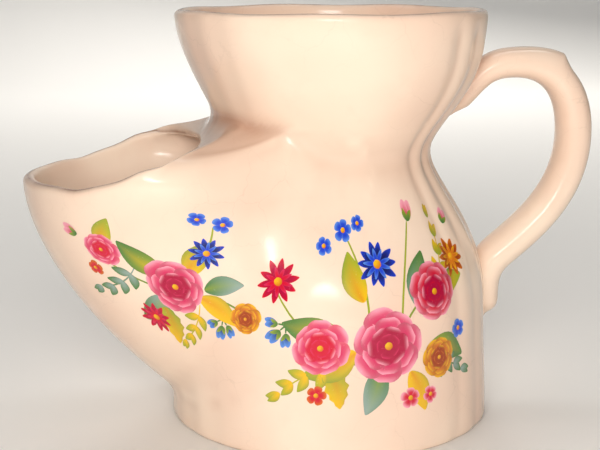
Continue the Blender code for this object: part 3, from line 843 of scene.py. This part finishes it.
def handle_line(pot):
    """(radius, height) of the handle's middle line, the share of its full section, and where its spur stands.

    Six Bezier curves join seven places: the tail on the bowl, the stem, the farthest reach, the lower bend
    and the tail on the drum. The section's share goes over from place to place in an S.
    """
    p = pot.shape
    half = p.handle_thickness / 2
    out = np.array((1.0, 0.0))
    down = np.array((0.0, -1.0))
    inwards = -np.array((math.cos(LOWER_BEND_ANGLE), math.sin(LOWER_BEND_ANGLE)))
    height = np.array((
        UPPER_TAIL_HEIGHT,
        UPPER_TAIL_HEIGHT + TAIL_TIP,
        HANDLE_TOP - half,
        REACH_HEIGHT,
        LOWER_BEND_HEIGHT,
        LOWER_TAIL_HEIGHT + TAIL_TIP,
        LOWER_TAIL_HEIGHT,
    ))
    stand = np.array((0, TAIL_STAND, STEM_STAND, 0, LOWER_BEND_STAND, TAIL_STAND, 0))
    places = np.stack([pot.turned_radius(height) + stand, height], axis=1)
    places[:2, 0] += pot.lean(height[:2])
    places[3, 0] = p.handle_reach - half
    runs = np.linalg.norm(np.diff(places, axis=0), axis=1)
    tip = TAIL_TIP / 3
    up_bowl = unit(places[1] - places[0])
    leaving = (
        up_bowl * tip,
        up_bowl * runs[1] * TAIL_PULL,
        out * runs[2] * TOP_PULL,
        down * runs[3] * BACK_PULL,
        inwards * runs[4] * TAIL_PULL,
        down * tip,
    )
    arriving = (
        up_bowl * tip,
        out * STEM_STAND * STEM_PULL,
        down * runs[2] * TOP_PULL,
        inwards * runs[3] * BEND_PULL,
        down * runs[4] * TAIL_PULL,
        down * tip,
    )
    curves = [
        bezier(places[i], places[i] + leaving[i], places[i + 1] - arriving[i], places[i + 1])[:-1]
        for i in range(len(runs))
    ]
    line = np.vstack(curves)
    shares = np.array(SECTION_SHARES)
    at = np.arange(len(line)) / (CURVE_POINTS - 1)
    whole = np.minimum(at.astype(int), len(runs) - 1)
    share = shares[whole] + (shares[whole + 1] - shares[whole]) * smooth_step(at - whole)
    return line, share, int(CURVE_POINTS * (2 + SPUR_PLACE))


def handle_grid(pot):
    """Rows of the strap: an oval carried along the middle line, with a spur, bedded in the mug's wall.

    Each point is the line's place, plus the in-plane normal by the cosine and +Y by the sine of its turn,
    both to a power below one. Points deeper in the mug than its bed are moved out to the bed.
    """
    p = pot.shape
    line, share, spur = handle_line(pot)
    step = np.linalg.norm(np.gradient(line, axis=0), axis=1)
    length = np.cumsum(step)
    picked = np.linspace(length[0], length[-1], HANDLE_ROWS)
    picked = np.sort(np.append(picked, length[spur] + np.array((-1, 0, 1)) * SPUR_ROW_GAP))
    ahead = np.gradient(line, axis=0) / step[:, None]
    centre = np.stack([np.interp(picked, length, line[:, i]) for i in (0, 1)], axis=1)
    ahead = unit(np.stack([np.interp(picked, length, ahead[:, i]) for i in (0, 1)], axis=1))
    share = np.interp(picked, length, share)
    from_spur = picked - length[spur]
    bump = np.where(from_spur < 0, 1 + from_spur / SPUR_RUN_UP, 1 - from_spur / SPUR_RUN_OUT)
    bump = p.spur_height * np.maximum(bump, 0) ** SPUR_POINT

    # Rounded ends: three more rings that shrink to a point over the last ring's own radius
    closing = np.array((0.85, 0.5, 0.0))
    ahead_by = np.array((0.5, 0.85, 1.0)) * share[0] * p.handle_thickness / 2
    centre = np.vstack([
        centre[0] - ahead[0] * ahead_by[::-1, None], centre, centre[-1] + ahead[-1] * ahead_by[:, None]
    ])
    ahead = np.vstack([ahead[[0, 0, 0]], ahead, ahead[[-1, -1, -1]]])
    share = np.concatenate([share[0] * closing[::-1], share, share[-1] * closing])
    bump = np.concatenate([np.zeros(3), bump, np.zeros(3)])[:, None]

    turn = np.linspace(0, 2 * math.pi, HANDLE_SECTION_POINTS, endpoint=False)
    power = 2 / SECTION_SQUARENESS
    outwards = np.sign(np.cos(turn)) * np.abs(np.cos(turn)) ** power
    sideways = np.sign(np.sin(turn)) * np.abs(np.sin(turn)) ** power
    outwards = share[:, None] * outwards * p.handle_thickness / 2
    outwards = outwards + bump * np.maximum(np.cos(turn), 0) ** SPUR_SPREAD
    x = centre[:, :1] - ahead[:, 1:] * outwards
    z = centre[:, 1:] + ahead[:, :1] * outwards
    y = share[:, None] * sideways * p.handle_width / 2
    lean = pot.lean(z)
    x = x - lean
    angle = math.pi - np.arctan2(np.abs(y), x)
    bed = pot.turned_radius(z) - pot.flutes(angle, z) - HANDLE_BED
    grow = np.maximum(bed / np.hypot(x, y), 1)
    return np.stack([AXIS_X + lean + x * grow, y * grow, z], axis=-1)


class SCUTTLE_OT_handle(bpy.types.Operator):
    """Casts the loop handle with its thumb spur"""

    bl_idname = "scuttle.handle"
    bl_label = "Handle"

    def execute(self, context):
        grid = handle_grid(Pot(context.scene.scuttle_shape))
        points, quads = weld(grid.reshape(-1, 3), band_quads(*grid.shape[:2]))
        glaze = earthenware_glaze("ivory_glaze_strap", context.scene.scuttle_colours, False)
        subdivide(new_piece("scuttle_handle", points, quads, glaze, ["handle"]))
        return {"FINISHED"}


def corner_cut(profile, passes):
    """A profile with its corners cut at a quarter and three quarters of each side, time after time."""
    for _ in range(passes):
        near = 0.75 * profile[:-1] + 0.25 * profile[1:]
        far = 0.25 * profile[:-1] + 0.75 * profile[1:]
        inner = np.stack([near, far], axis=1).reshape(-1, 2)
        profile = np.vstack([profile[:1], inner[1:-1], profile[-1:]])
    return profile


def turned(profile, centre, columns):
    """Points and quads of a profile of (radius, height), bottom to top, turned about an upright axis."""
    turn = -np.linspace(0, 2 * math.pi, columns, endpoint=False)
    radius, height = profile[:, :1], profile[:, 1:]
    x = centre[0] + radius * np.cos(turn)
    grid = np.stack(np.broadcast_arrays(x, centre[1] + radius * np.sin(turn), height), axis=-1)
    return weld(grid.reshape(-1, 3), band_quads(*grid.shape[:2]))


class SCUTTLE_OT_tray(bpy.types.Operator):
    """Turns the dished soap tray and drills its drain holes"""

    bl_idname = "scuttle.tray"
    bl_label = "Soap tray"

    def execute(self, context):
        p = context.scene.scuttle_shape
        top = p.tray_height
        middle = AXIS_X + Pot(p).lean(top)
        under = top - TRAY_THICKNESS
        rim = p.tray_radius + TRAY_BED
        ledge = rim - TRAY_LEDGE
        floor = ledge - TRAY_SLOPE
        profile = np.array((
            (0, under - TRAY_DISH),
            (floor, under - TRAY_DISH),
            (ledge, under),
            (rim - TRAY_UNDERCUT, under),
            (rim, top - TRAY_RIM_ROUND),
            (rim, top),
            (ledge, top),
            (floor, top - TRAY_DISH),
            (0, top - TRAY_DISH),
        ))
        glaze = earthenware_glaze("ivory_glaze_tray", context.scene.scuttle_colours, False)
        points, quads = turned(corner_cut(profile, CORNER_PASSES), (middle, 0), TRAY_COLUMNS)
        tray = new_piece("scuttle_tray", points, quads, glaze, ["soap_tray"])

        # Flared cutters: one in the middle and a ring round it
        high, low = top - TRAY_DISH, under - TRAY_DISH
        flare = DRAIN_FLARE * np.array((2.2, 1.0, 0.4, 0.0, 0.0, 0.4, 1.0, 2.2))
        depth = DRAIN_FLARE * np.array((-1.2, 0.0, 0.5, 1.1))
        height = np.concatenate([low + depth, high - depth[::-1]])
        side = np.stack([p.drain_radius + flare, height], axis=1)
        side = np.vstack([(0, height[0]), side, (0, height[-1])])
        turns = [k * math.tau / DRAIN_COUNT for k in range(DRAIN_COUNT)]
        places = [(0.0, 0.0)] + [(math.cos(turn), math.sin(turn)) for turn in turns]
        points, quads = [], []
        for place in places:
            centre = (middle + place[0] * DRAIN_RING, place[1] * DRAIN_RING)
            drill_points, drill_quads = turned(side, centre, DRAIN_COLUMNS)
            quads.append(drill_quads + sum(map(len, points)))
            points.append(drill_points)
        drills = new_object("drills", np.vstack(points), np.vstack(quads), glaze)
        cut = tray.modifiers.new("Drains", "BOOLEAN")
        cut.operation = "DIFFERENCE"
        cut.object = drills
        cut.solver = "EXACT"
        bake_modifiers(tray)
        tray.data.set_sharp_from_angle(angle=TRAY_SHARP_ANGLE)
        bpy.data.objects.remove(drills)
        return {"FINISHED"}


def bake_modifiers(piece):
    """Puts the evaluated mesh in place of the piece's own and drops its modifiers."""
    graph = bpy.context.evaluated_depsgraph_get()
    mesh = bpy.data.meshes.new_from_object(piece.evaluated_get(graph))
    mesh.name = piece.name
    piece.modifiers.clear()
    piece.data = mesh


class Spray:
    """Printed flowers on a flat sheet of millimetres, u to the right and v up, made of tapering patches."""

    def __init__(self, colours):
        self.c = {key: np.array(getattr(colours, key)) for key in colours.__annotations__}
        self.patches = []
        self.leaves = 0
        self.chance = np.random.default_rng(SPRAY_SEED)

    def patch(self, place, heading, length, half_width, base, tip, level, **more):
        """One patch from a place along a heading, wide by half a sine to powers, tinted from base to tip."""
        base, tip = self.c[base], self.c[tip]
        row = {"edge": tip, "rib": base, "shade": base, "shade_by": 0, "hold": 0}
        row.update(bow=0, full=1.0, blunt=0.6, tilt=0, teeth=0)
        row.update({key: self.c[value] if isinstance(value, str) else value for key, value in more.items()})
        row.update(place=place, heading=math.radians(heading), length=length, half_width=half_width)
        self.patches.append({**row, "base": base, "tip": tip, "level": level})

    def ring(self, place, count, reach, half_width, turn, base, tip, level, **more):
        """Petals round a place, each a little over its neighbour."""
        for k in range(count):
            heading = turn + 360 * k / count + self.chance.uniform(-5, 5)
            longer = reach * self.chance.uniform(0.93, 1.07)
            look = {"tilt": 0.5, "hold": 0.5, **more}
            self.patch(place, heading, longer, half_width, base, tip, level, **look)

    def disc(self, place, radius, base, tip, level, **more):
        """A round dot, lit from the upper left."""
        start = (place[0] - radius * 0.7, place[1] + radius * 0.7)
        self.patch(start, -45, 2 * radius, radius, base, tip, level, blunt=0.5, **more)

    def stem(self, start, end, bow, base="lime", tip="green", half_width=0.28):
        """A thin bowed stalk between two places."""
        run = (end[0] - start[0], end[1] - start[1])
        heading = math.degrees(math.atan2(run[1], run[0]))
        self.patch(start, heading, math.hypot(*run), half_width, base, tip, 0, bow=bow, blunt=0.15)

    def leaf(self, place, heading, length, base, tip, rib, width=0.24, bow=0.06, level=1, teeth=0):
        """A pointed leaf with a rib, on one of a few levels in turn so that leaves can cross."""
        self.leaves += 1
        level = level + 0.5 * (self.leaves % LEAF_LEVELS)
        self.patch(
            place, heading, length, length * width, base, tip, level, edge=tip, rib=rib, bow=bow, full=0.85,
            blunt=0.9, teeth=teeth, shade="green", shade_by=0.45,
        )

    def bloom(self, place, radius, turn, deep="deep_pink", mid="mid_pink", pale="pale_pink"):
        """A double flower: four rings of petals, each dark beside its neighbour, and a gold eye."""
        look = {"full": 1.7, "blunt": 0.5, "shade": deep, "hold": 0.74}
        self.ring(place, 7, radius, radius * 0.46, turn, mid, pale, 5, shade_by=0.65, **look)
        self.ring(place, 6, radius * 0.78, radius * 0.38, turn + 20, mid, pale, 6.2, shade_by=0.8, **look)
        self.ring(
            place, 6, radius * 0.56, radius * 0.28, turn, deep, pale, 7.4, shade_by=0.8, edge=mid, **look
        )
        self.ring(place, 5, radius * 0.34, radius * 0.19, turn + 30, deep, mid, 8.6, shade_by=0.9, **look)
        self.disc(place, radius * 0.11, "gold", "amber", 9.8)

    def daisy(self, place, radius, turn, dark="navy", main="cobalt", light="sky"):
        """A star of narrow petals in two rings with a gold eye."""
        self.ring(place, 10, radius, radius * 0.17, turn, dark, main, 5, full=1.1, blunt=0.8, edge=main)
        self.ring(place, 9, radius * 0.7, radius * 0.1, turn + 18, main, light, 6.2, blunt=0.8)
        self.disc(place, radius * 0.2, "gold", "amber", 7.4)

    def small_flower(self, place, radius, turn, petal="sky", edge="cobalt"):
        """Five round petals with a gold eye."""
        self.ring(place, 5, radius, radius * 0.42, turn, edge, petal, 5, full=1.8, blunt=0.5)
        self.disc(place, radius * 0.25, "gold", "amber", 6.2)

    def bud(self, place, heading, length, deep="crimson", pale="pale_pink"):
        """A closed flower in its green cup."""
        self.patch(place, heading - 12, length, length * 0.24, deep, pale, 5, full=1.1, blunt=0.7)
        self.patch(place, heading + 12, length * 0.95, length * 0.24, deep, pale, 5.6, full=1.1, blunt=0.7)
        self.leaf(place, heading - 28, length * 0.62, "green", "lime", "green", 0.2, level=6.4)
        self.leaf(place, heading + 28, length * 0.6, "green", "lime", "green", 0.2, level=6.4)

    def sprig(self, start, end, bow, count, size, base, tip):
        """A stalk with pairs of leaflets."""
        self.stem(start, end, bow, base, tip, 0.2)
        run = np.subtract(end, start)
        side = np.array((-run[1], run[0])) * bow
        heading = math.degrees(math.atan2(run[1], run[0]))
        for k in range(1, count + 1):
            s = k / count
            place = np.array(start) + run * s + side * 4 * s * (1 - s)
            for turn in (-52, 50):
                length = size * (1.1 - 0.35 * s)
                self.leaf(place, heading + turn * (1.2 - s), length, base, tip, base, 0.26)

    def bells(self, place, heading, length):
        """Three small blue bells that hang from one place."""
        for turn, share in ((-48, 0.8), (46, 0.85), (0, 1)):
            way = math.radians(heading + turn)
            cup = (place[0] + 0.45 * length * math.cos(way), place[1] + 0.45 * length * math.sin(way))
            self.stem(place, cup, 0, "green", "green", 0.22)
            self.bud(cup, heading + turn, length * share, "navy", "sky")

    def columns(self, key):
        """One value of every patch, shaped to lie along rows and columns."""
        values = np.array([patch[key] for patch in self.patches], float)
        return values.reshape(len(values), 1, 1, *values.shape[1:])

    def sheet(self):
        """(u, v) in millimetres, lift level and tint of every patch's points, and the quads between them."""
        s = np.linspace(0, 1, PATCH_ROWS)
        s = (0.5 * s + 0.25 - 0.25 * np.cos(math.pi * s))[None, :, None]
        t = np.array(PATCH_COLUMNS)[None, None, :]
        length = self.columns("length")
        wide = np.sin(math.pi * np.clip(s, 1e-4, 1 - 1e-4) ** self.columns("full")) ** self.columns("blunt")
        wide = np.where((s == 0) | (s == 1), 0, wide)
        saw = 1 - TOOTH_DEPTH * self.columns("teeth") * (np.arange(PATCH_ROWS) % 2)[None, :, None]
        along = length * s
        across = self.columns("half_width") * wide * saw * t + self.columns("bow") * length * 4 * s * (1 - s)
        heading = self.columns("heading")
        place = self.columns("place")
        u = place[..., 0] + along * np.cos(heading) - across * np.sin(heading)
        v = place[..., 1] + along * np.sin(heading) + across * np.cos(heading)

        level = self.columns("level") + self.columns("tilt") * t
        inner = (np.abs(t) < 1) & (s > 0) & (s < 1)
        level = np.where(inner, LIFT + level * LEVEL, -LIFT)

        s, t = s[..., None], t[..., None]
        hold = self.columns("hold")[..., None]
        tint = self.columns("base")
        tint = tint + (self.columns("tip") - tint) * smooth_step((s - hold) / (1 - hold))
        tint = tint + (self.columns("edge") - tint) * np.abs(t) ** 4 * smooth_step(s * 1.5) * EDGE_TINT
        shaded = self.columns("shade_by")[..., None] * np.clip(t, 0, 1) ** 2
        tint = tint + (self.columns("shade") - tint) * shaded
        tint = tint + (self.columns("rib") - tint) * (np.abs(t) < RIB_HALF_WIDTH) * RIB_TINT * (1 - s)

        count = len(self.patches)
        index = np.arange(count * PATCH_ROWS * len(PATCH_COLUMNS)).reshape(count, PATCH_ROWS, -1)
        index[:, (0, -1)] = index[:, (0, -1), :1]
        ahead = index[:, 1:]
        here = index[:, :-1]
        quads = np.stack([here, ahead, np.roll(ahead, -1, axis=2), np.roll(here, -1, axis=2)], axis=-1)
        used, quads = np.unique(quads.reshape(-1, 4), return_inverse=True)
        flat = np.stack([u, v], axis=-1).reshape(-1, 2)[used]
        quads = quads.reshape(-1, 4)
        corners = 1 + (np.diff(np.sort(quads, axis=1), axis=1) > 0).sum(axis=1)
        return flat, level.reshape(-1)[used], tint.reshape(-1, 3)[used], quads[corners > 2]


def belly_spray(colours):
    """A loose crescent of blooms for the mug's belly, about 62 x 50 mm."""
    spray = Spray(colours)
    spray.stem((-27, 8), (3, -14), -0.12)
    spray.stem((3, -14), (28, 10), 0.2)
    spray.stem((-4, -10), (-9, 21), -0.1, "lime", "lime")
    spray.stem((6, -8), (13, 23), 0.08, "lime", "lime")
    spray.sprig((-10, -12), (-25, -19), -0.1, 4, 5.5, "gold", "lime")
    spray.sprig((12, -13), (26, -17), 0.1, 4, 5, "slate", "green")
    spray.sprig((14, 2), (22, 22), -0.1, 5, 4.6, "lime", "gold")
    spray.leaf((-6, -8), 205, 15, "gold", "lime", "amber", 0.27)
    spray.leaf((-10, -3), 172, 15, "lime", "green", "gold", 0.25)
    spray.leaf((0, -12), 252, 13, "green", "slate", "lime", 0.25)
    spray.leaf((8, -14), 292, 12, "gold", "gold", "amber", 0.26)
    spray.leaf((14, -8), -22, 14, "lime", "green", "gold", 0.26)
    spray.leaf((10, 2), 72, 14, "slate", "green", "lime", 0.24)
    spray.leaf((-4, 4), 108, 13, "gold", "lime", "amber", 0.24)
    spray.leaf((18, 4), 20, 11, "gold", "lime", "amber", 0.27)
    spray.leaf((-13, -12), 285, 11, "lime", "gold", "amber", 0.3, teeth=1)
    spray.bells((-23.5, -1.5), 222, 4.6)
    spray.bloom((2, -7), 9.6, 10)
    spray.bloom((-15, -7), 7.2, 40, "crimson", "mid_pink", "pale_pink")
    spray.bloom((16, 5), 7.6, 0, "deep_pink", "crimson", "pale_pink")
    spray.bloom((17, -12), 5.4, 20, "rust", "amber", "gold")
    spray.daisy((-26, 9), 5.4, 12, "deep_pink", "crimson", "mid_pink")
    spray.daisy((0, 13), 5.6, 0)
    spray.daisy((26, 12), 5, 30, "rust", "amber", "gold")
    spray.small_flower((-9, 21), 2.7, 10)
    spray.small_flower((-14.5, 17.5), 2.3, 40)
    spray.small_flower((-4.5, 22.5), 2.1, 70)
    spray.small_flower((-16, -19), 2.5, 0, "amber", "crimson")
    spray.small_flower((8, -21), 2.8, 20, "pale_pink", "crimson")
    spray.small_flower((14, -21), 2.3, 50, "pale_pink", "crimson")
    spray.small_flower((25, -6), 2.6, 30)
    spray.bud((13, 22), 75, 5.5)
    spray.bud((28, 20), 50, 4.5)
    return spray


def flank_spray(colours):
    """A slanting garland for the spout's flank, about 50 x 40 mm."""
    spray = Spray(colours)
    spray.stem((-20, 12), (4, -4), -0.12)
    spray.stem((4, -4), (23, -13), 0.14)
    spray.stem((2, 0), (12, 17), -0.12, "lime", "lime")
    spray.sprig((6, -6), (-4, -18), 0.12, 4, 5, "gold", "lime")
    spray.sprig((-8, 6), (-23, -2), 0.12, 4, 5.2, "slate", "green")
    spray.leaf((-2, 2), 128, 14, "lime", "green", "gold", 0.26)
    spray.leaf((4, 2), 52, 13, "gold", "lime", "amber", 0.25)
    spray.leaf((6, -4), -38, 14, "gold", "gold", "amber", 0.24)
    spray.leaf((-4, -4), 214, 14, "slate", "green", "lime", 0.26)
    spray.leaf((8, -2), 8, 12, "green", "slate", "lime", 0.25)
    spray.leaf((-6, -7), 262, 13, "lime", "gold", "amber", 0.3, teeth=1)
    spray.leaf((-16, 10), 60, 11, "gold", "lime", "amber", 0.25)
    spray.bells((12.5, -10.5), 250, 4.8)
    spray.bloom((0, -1), 8.4, 25)
    spray.bloom((-16, 10), 5.0, 0, "crimson", "mid_pink", "pale_pink")
    spray.bloom((20, -10), 4.8, 15, "rust", "amber", "gold")
    spray.daisy((10, 9), 4.6, 20)
    spray.daisy((-11, -11), 4.8, 0, "deep_pink", "crimson", "mid_pink")
    spray.small_flower((14, 17), 2.4, 0)
    spray.small_flower((9, 19), 2.0, 40)
    spray.small_flower((-21, 4), 2.2, 10, "amber", "crimson")
    spray.bud((-22, 14), 155, 4.8)
    return spray


class SCUTTLE_OT_sprays(bpy.types.Operator):
    """Prints the flower sprays on both sides of the belly and of the spout"""

    bl_idname = "scuttle.sprays"
    bl_label = "Flower sprays"

    def execute(self, context):
        body = bpy.data.objects["scuttle_wall"]
        colours = context.scene.scuttle_colours
        pot = Pot(context.scene.scuttle_shape)
        enamel = fired_enamel()
        for side, word in ((-1, "near"), (1, "far")):
            for name, spray, middle, scale in (
                ("belly", belly_spray(colours), BELLY_SPRAY, MM),
                ("spout", flank_spray(colours), FLANK_SPRAY, FLANK_SCALE * MM),
            ):
                flat, level, tint, quads = spray.sheet()
                angle, height = wrapped(pot, flat * scale, middle, side)
                start = pot.on_mug(angle, pot.belly_radius(angle, height), height, side)
                piece = new_piece(f"spray_{name}_{word}", start, quads, enamel)
                lay_on(piece, body, skin_normals(pot, angle, height, side), level)
                tints = piece.data.color_attributes.new("tint", "FLOAT_COLOR", "POINT")
                tint = np.column_stack([tint, np.ones(len(tint))]).astype(np.float32)
                tints.data.foreach_set("color", tint.ravel())
        return {"FINISHED"}


def wrapped(pot, flat, middle, side):
    """(angle, height) on the skin of a flat sheet's points: arc length at the sheet's own middle height."""
    centre_angle, centre_height = middle
    angles = np.linspace(0, math.pi, ARC_SAMPLES)
    radius = pot.belly_radius(angles, np.full(ARC_SAMPLES, centre_height))
    x, y = -radius * np.cos(angles), radius * np.sin(angles)
    run = np.concatenate([[0], np.cumsum(np.hypot(np.diff(x), np.diff(y)))])
    start = np.interp(centre_angle, angles, run)
    return np.interp(start - side * flat[:, 0], run, angles), centre_height + flat[:, 1]


def skin_normals(pot, angle, height, side):
    """Normals of the plain skin: the cross product of its slopes along the angle and along the height."""
    turns = (angle - SLOPE_TURN, angle + SLOPE_TURN)
    rises = (height - SLOPE_RISE, height + SLOPE_RISE)
    here = [pot.on_mug(a, pot.belly_radius(a, height), height, side) for a in turns]
    there = [pot.on_mug(angle, pot.belly_radius(angle, h), h, side) for h in rises]
    return unit(-side * np.cross(here[1] - here[0], there[1] - there[0]))


def lay_on(piece, body, normals, level):
    """Moves a print to the nearest place of the wall, lifts it by its levels and shades it like the wall."""
    wrap = piece.modifiers.new("Lay", "SHRINKWRAP")
    wrap.target = body
    bake_modifiers(piece)
    points = np.empty(len(level) * 3, np.float32)
    piece.data.vertices.foreach_get("co", points)
    points = points.reshape(-1, 3) + normals * level[:, None]
    piece.data.vertices.foreach_set("co", points.astype(np.float32).ravel())
    piece.data.update()
    piece.data.normals_split_custom_set_from_vertices(normals)


def add_light(name, place, aim, size, watts, colour=(1, 1, 1)):
    """A soft light of a width and a height at a place, turned to an aim."""
    data = bpy.data.lights.new(name, "AREA")
    data.shape = "RECTANGLE"
    data.size, data.size_y = size
    data.energy = watts
    data.color = colour
    light = bpy.data.objects.new(name, data)
    light.location = place
    light.rotation_euler = (Vector(aim) - Vector(place)).to_track_quat("-Z", "Y").to_euler()
    bpy.context.scene.collection.objects.link(light)
    return light


class SCUTTLE_OT_stage(bpy.types.Operator):
    """Sets up a pale sweep, soft studio lights and the camera"""

    bl_idname = "scuttle.stage"
    bl_label = "Studio"

    def execute(self, context):
        scene = context.scene
        paper = bpy.data.materials.new("backdrop_paper")
        paper.use_nodes = True
        shader = paper.node_tree.nodes["Principled BSDF"]
        shader.inputs["Base Color"].default_value = (*scene.scuttle_colours.floor, 1)
        shader.inputs["Roughness"].default_value = PAPER_ROUGHNESS

        # A sheet that runs flat and then sweeps up behind the pot in a quarter circle
        bend = np.linspace(0, math.pi / 2, SWEEP_ROWS)
        wall = SWEEP_FLAT_END + SWEEP_BEND
        back = np.concatenate([[-SWEEP_HALF_SIZE], SWEEP_FLAT_END + SWEEP_BEND * np.sin(bend), [wall]])
        up = np.concatenate([[0], SWEEP_BEND - SWEEP_BEND * np.cos(bend), [SWEEP_HALF_SIZE]])
        across = np.array((-SWEEP_HALF_SIZE, SWEEP_HALF_SIZE))
        grid = np.stack(np.broadcast_arrays(across[None], back[:, None], up[:, None]), axis=-1)
        here = 2 * np.arange(len(back) - 1)
        quads = np.stack([here, here + 1, here + 3, here + 2], axis=1)
        sweep = new_object("sweep", grid.reshape(-1, 3) - (0, 0, SWEEP_DROP), quads, paper)

        # Three soft lights without glints round the pot, one on the paper, and a strip that gives the glints
        key = add_light("key", (-0.07, -0.4, 0.18), LIGHT_AIM, (0.2, 0.2), 1.12, WARM_WHITE)
        front = add_light("front", (-0.2, -1.2, 0.45), LIGHT_AIM, (0.6, 0.6), 4, WARM_WHITE)
        behind = add_light("back", (0.2, 1.0, 0.5), LIGHT_AIM, (0.7, 0.5), 4.5, WARM_WHITE)
        key.visible_glossy = front.visible_glossy = behind.visible_glossy = False
        add_light("backdrop", (0, 0.35, 1.3), (0, 1.3, 0.2), (1.6, 0.5), 7.5)
        add_light("gleam", (-0.165, -1.05, 0.31), LIGHT_AIM, (0.3, 0.1), 1.1)
        world = bpy.data.worlds.new("studio")
        world.use_nodes = True
        room = world.node_tree.nodes["Background"]
        room.inputs["Color"].default_value = ROOM_WHITE
        room.inputs["Strength"].default_value = ROOM_STRENGTH
        scene.world = world
        scene.view_settings.view_transform = "Standard"

        data = bpy.data.cameras.new("camera")
        data.lens = CAMERA_LENS
        data.clip_start = 0.01
        camera = bpy.data.objects.new("camera", data)
        x = AXIS_X + CAMERA_DISTANCE * math.sin(CAMERA_TURN) - CAMERA_SIDE * math.cos(CAMERA_TURN)
        y = -CAMERA_DISTANCE * math.cos(CAMERA_TURN) - CAMERA_SIDE * math.sin(CAMERA_TURN)
        camera.location = (x, y, CAMERA_HEIGHT)
        camera.rotation_euler = (math.pi / 2 - CAMERA_TILT, 0, CAMERA_TURN)
        scene.collection.objects.link(camera)
        scene.camera = camera
        return {"FINISHED"}


class SCUTTLE_PT_panel(bpy.types.Panel):
    """Sizes, colours and steps of the scuttle"""

    bl_label = "Shaving scuttle"
    bl_idname = "SCUTTLE_PT_panel"
    bl_space_type = "VIEW_3D"
    bl_region_type = "UI"
    bl_category = "Scuttle"

    def draw(self, context):
        for operator in OPERATORS:
            self.layout.operator(operator.bl_idname)
        for group in (context.scene.scuttle_shape, context.scene.scuttle_colours):
            for key in group.__annotations__:
                self.layout.prop(group, key)


OPERATORS = (SCUTTLE_OT_body, SCUTTLE_OT_handle, SCUTTLE_OT_tray, SCUTTLE_OT_sprays, SCUTTLE_OT_stage)
CLASSES = (ScuttleShape, ScuttleColours, *OPERATORS, SCUTTLE_PT_panel)


def register():
    for cls in CLASSES:
        bpy.utils.register_class(cls)
    bpy.types.Scene.scuttle_shape = PointerProperty(type=ScuttleShape)
    bpy.types.Scene.scuttle_colours = PointerProperty(type=ScuttleColours)


def unregister():
    del bpy.types.Scene.scuttle_shape
    del bpy.types.Scene.scuttle_colours
    for cls in reversed(CLASSES):
        bpy.utils.unregister_class(cls)


def main():
    register()
    bpy.ops.scuttle.body()
    bpy.ops.scuttle.handle()
    bpy.ops.scuttle.tray()
    bpy.ops.scuttle.sprays()
    bpy.ops.scuttle.stage()
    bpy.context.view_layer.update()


if __name__ == "__main__":
    main()
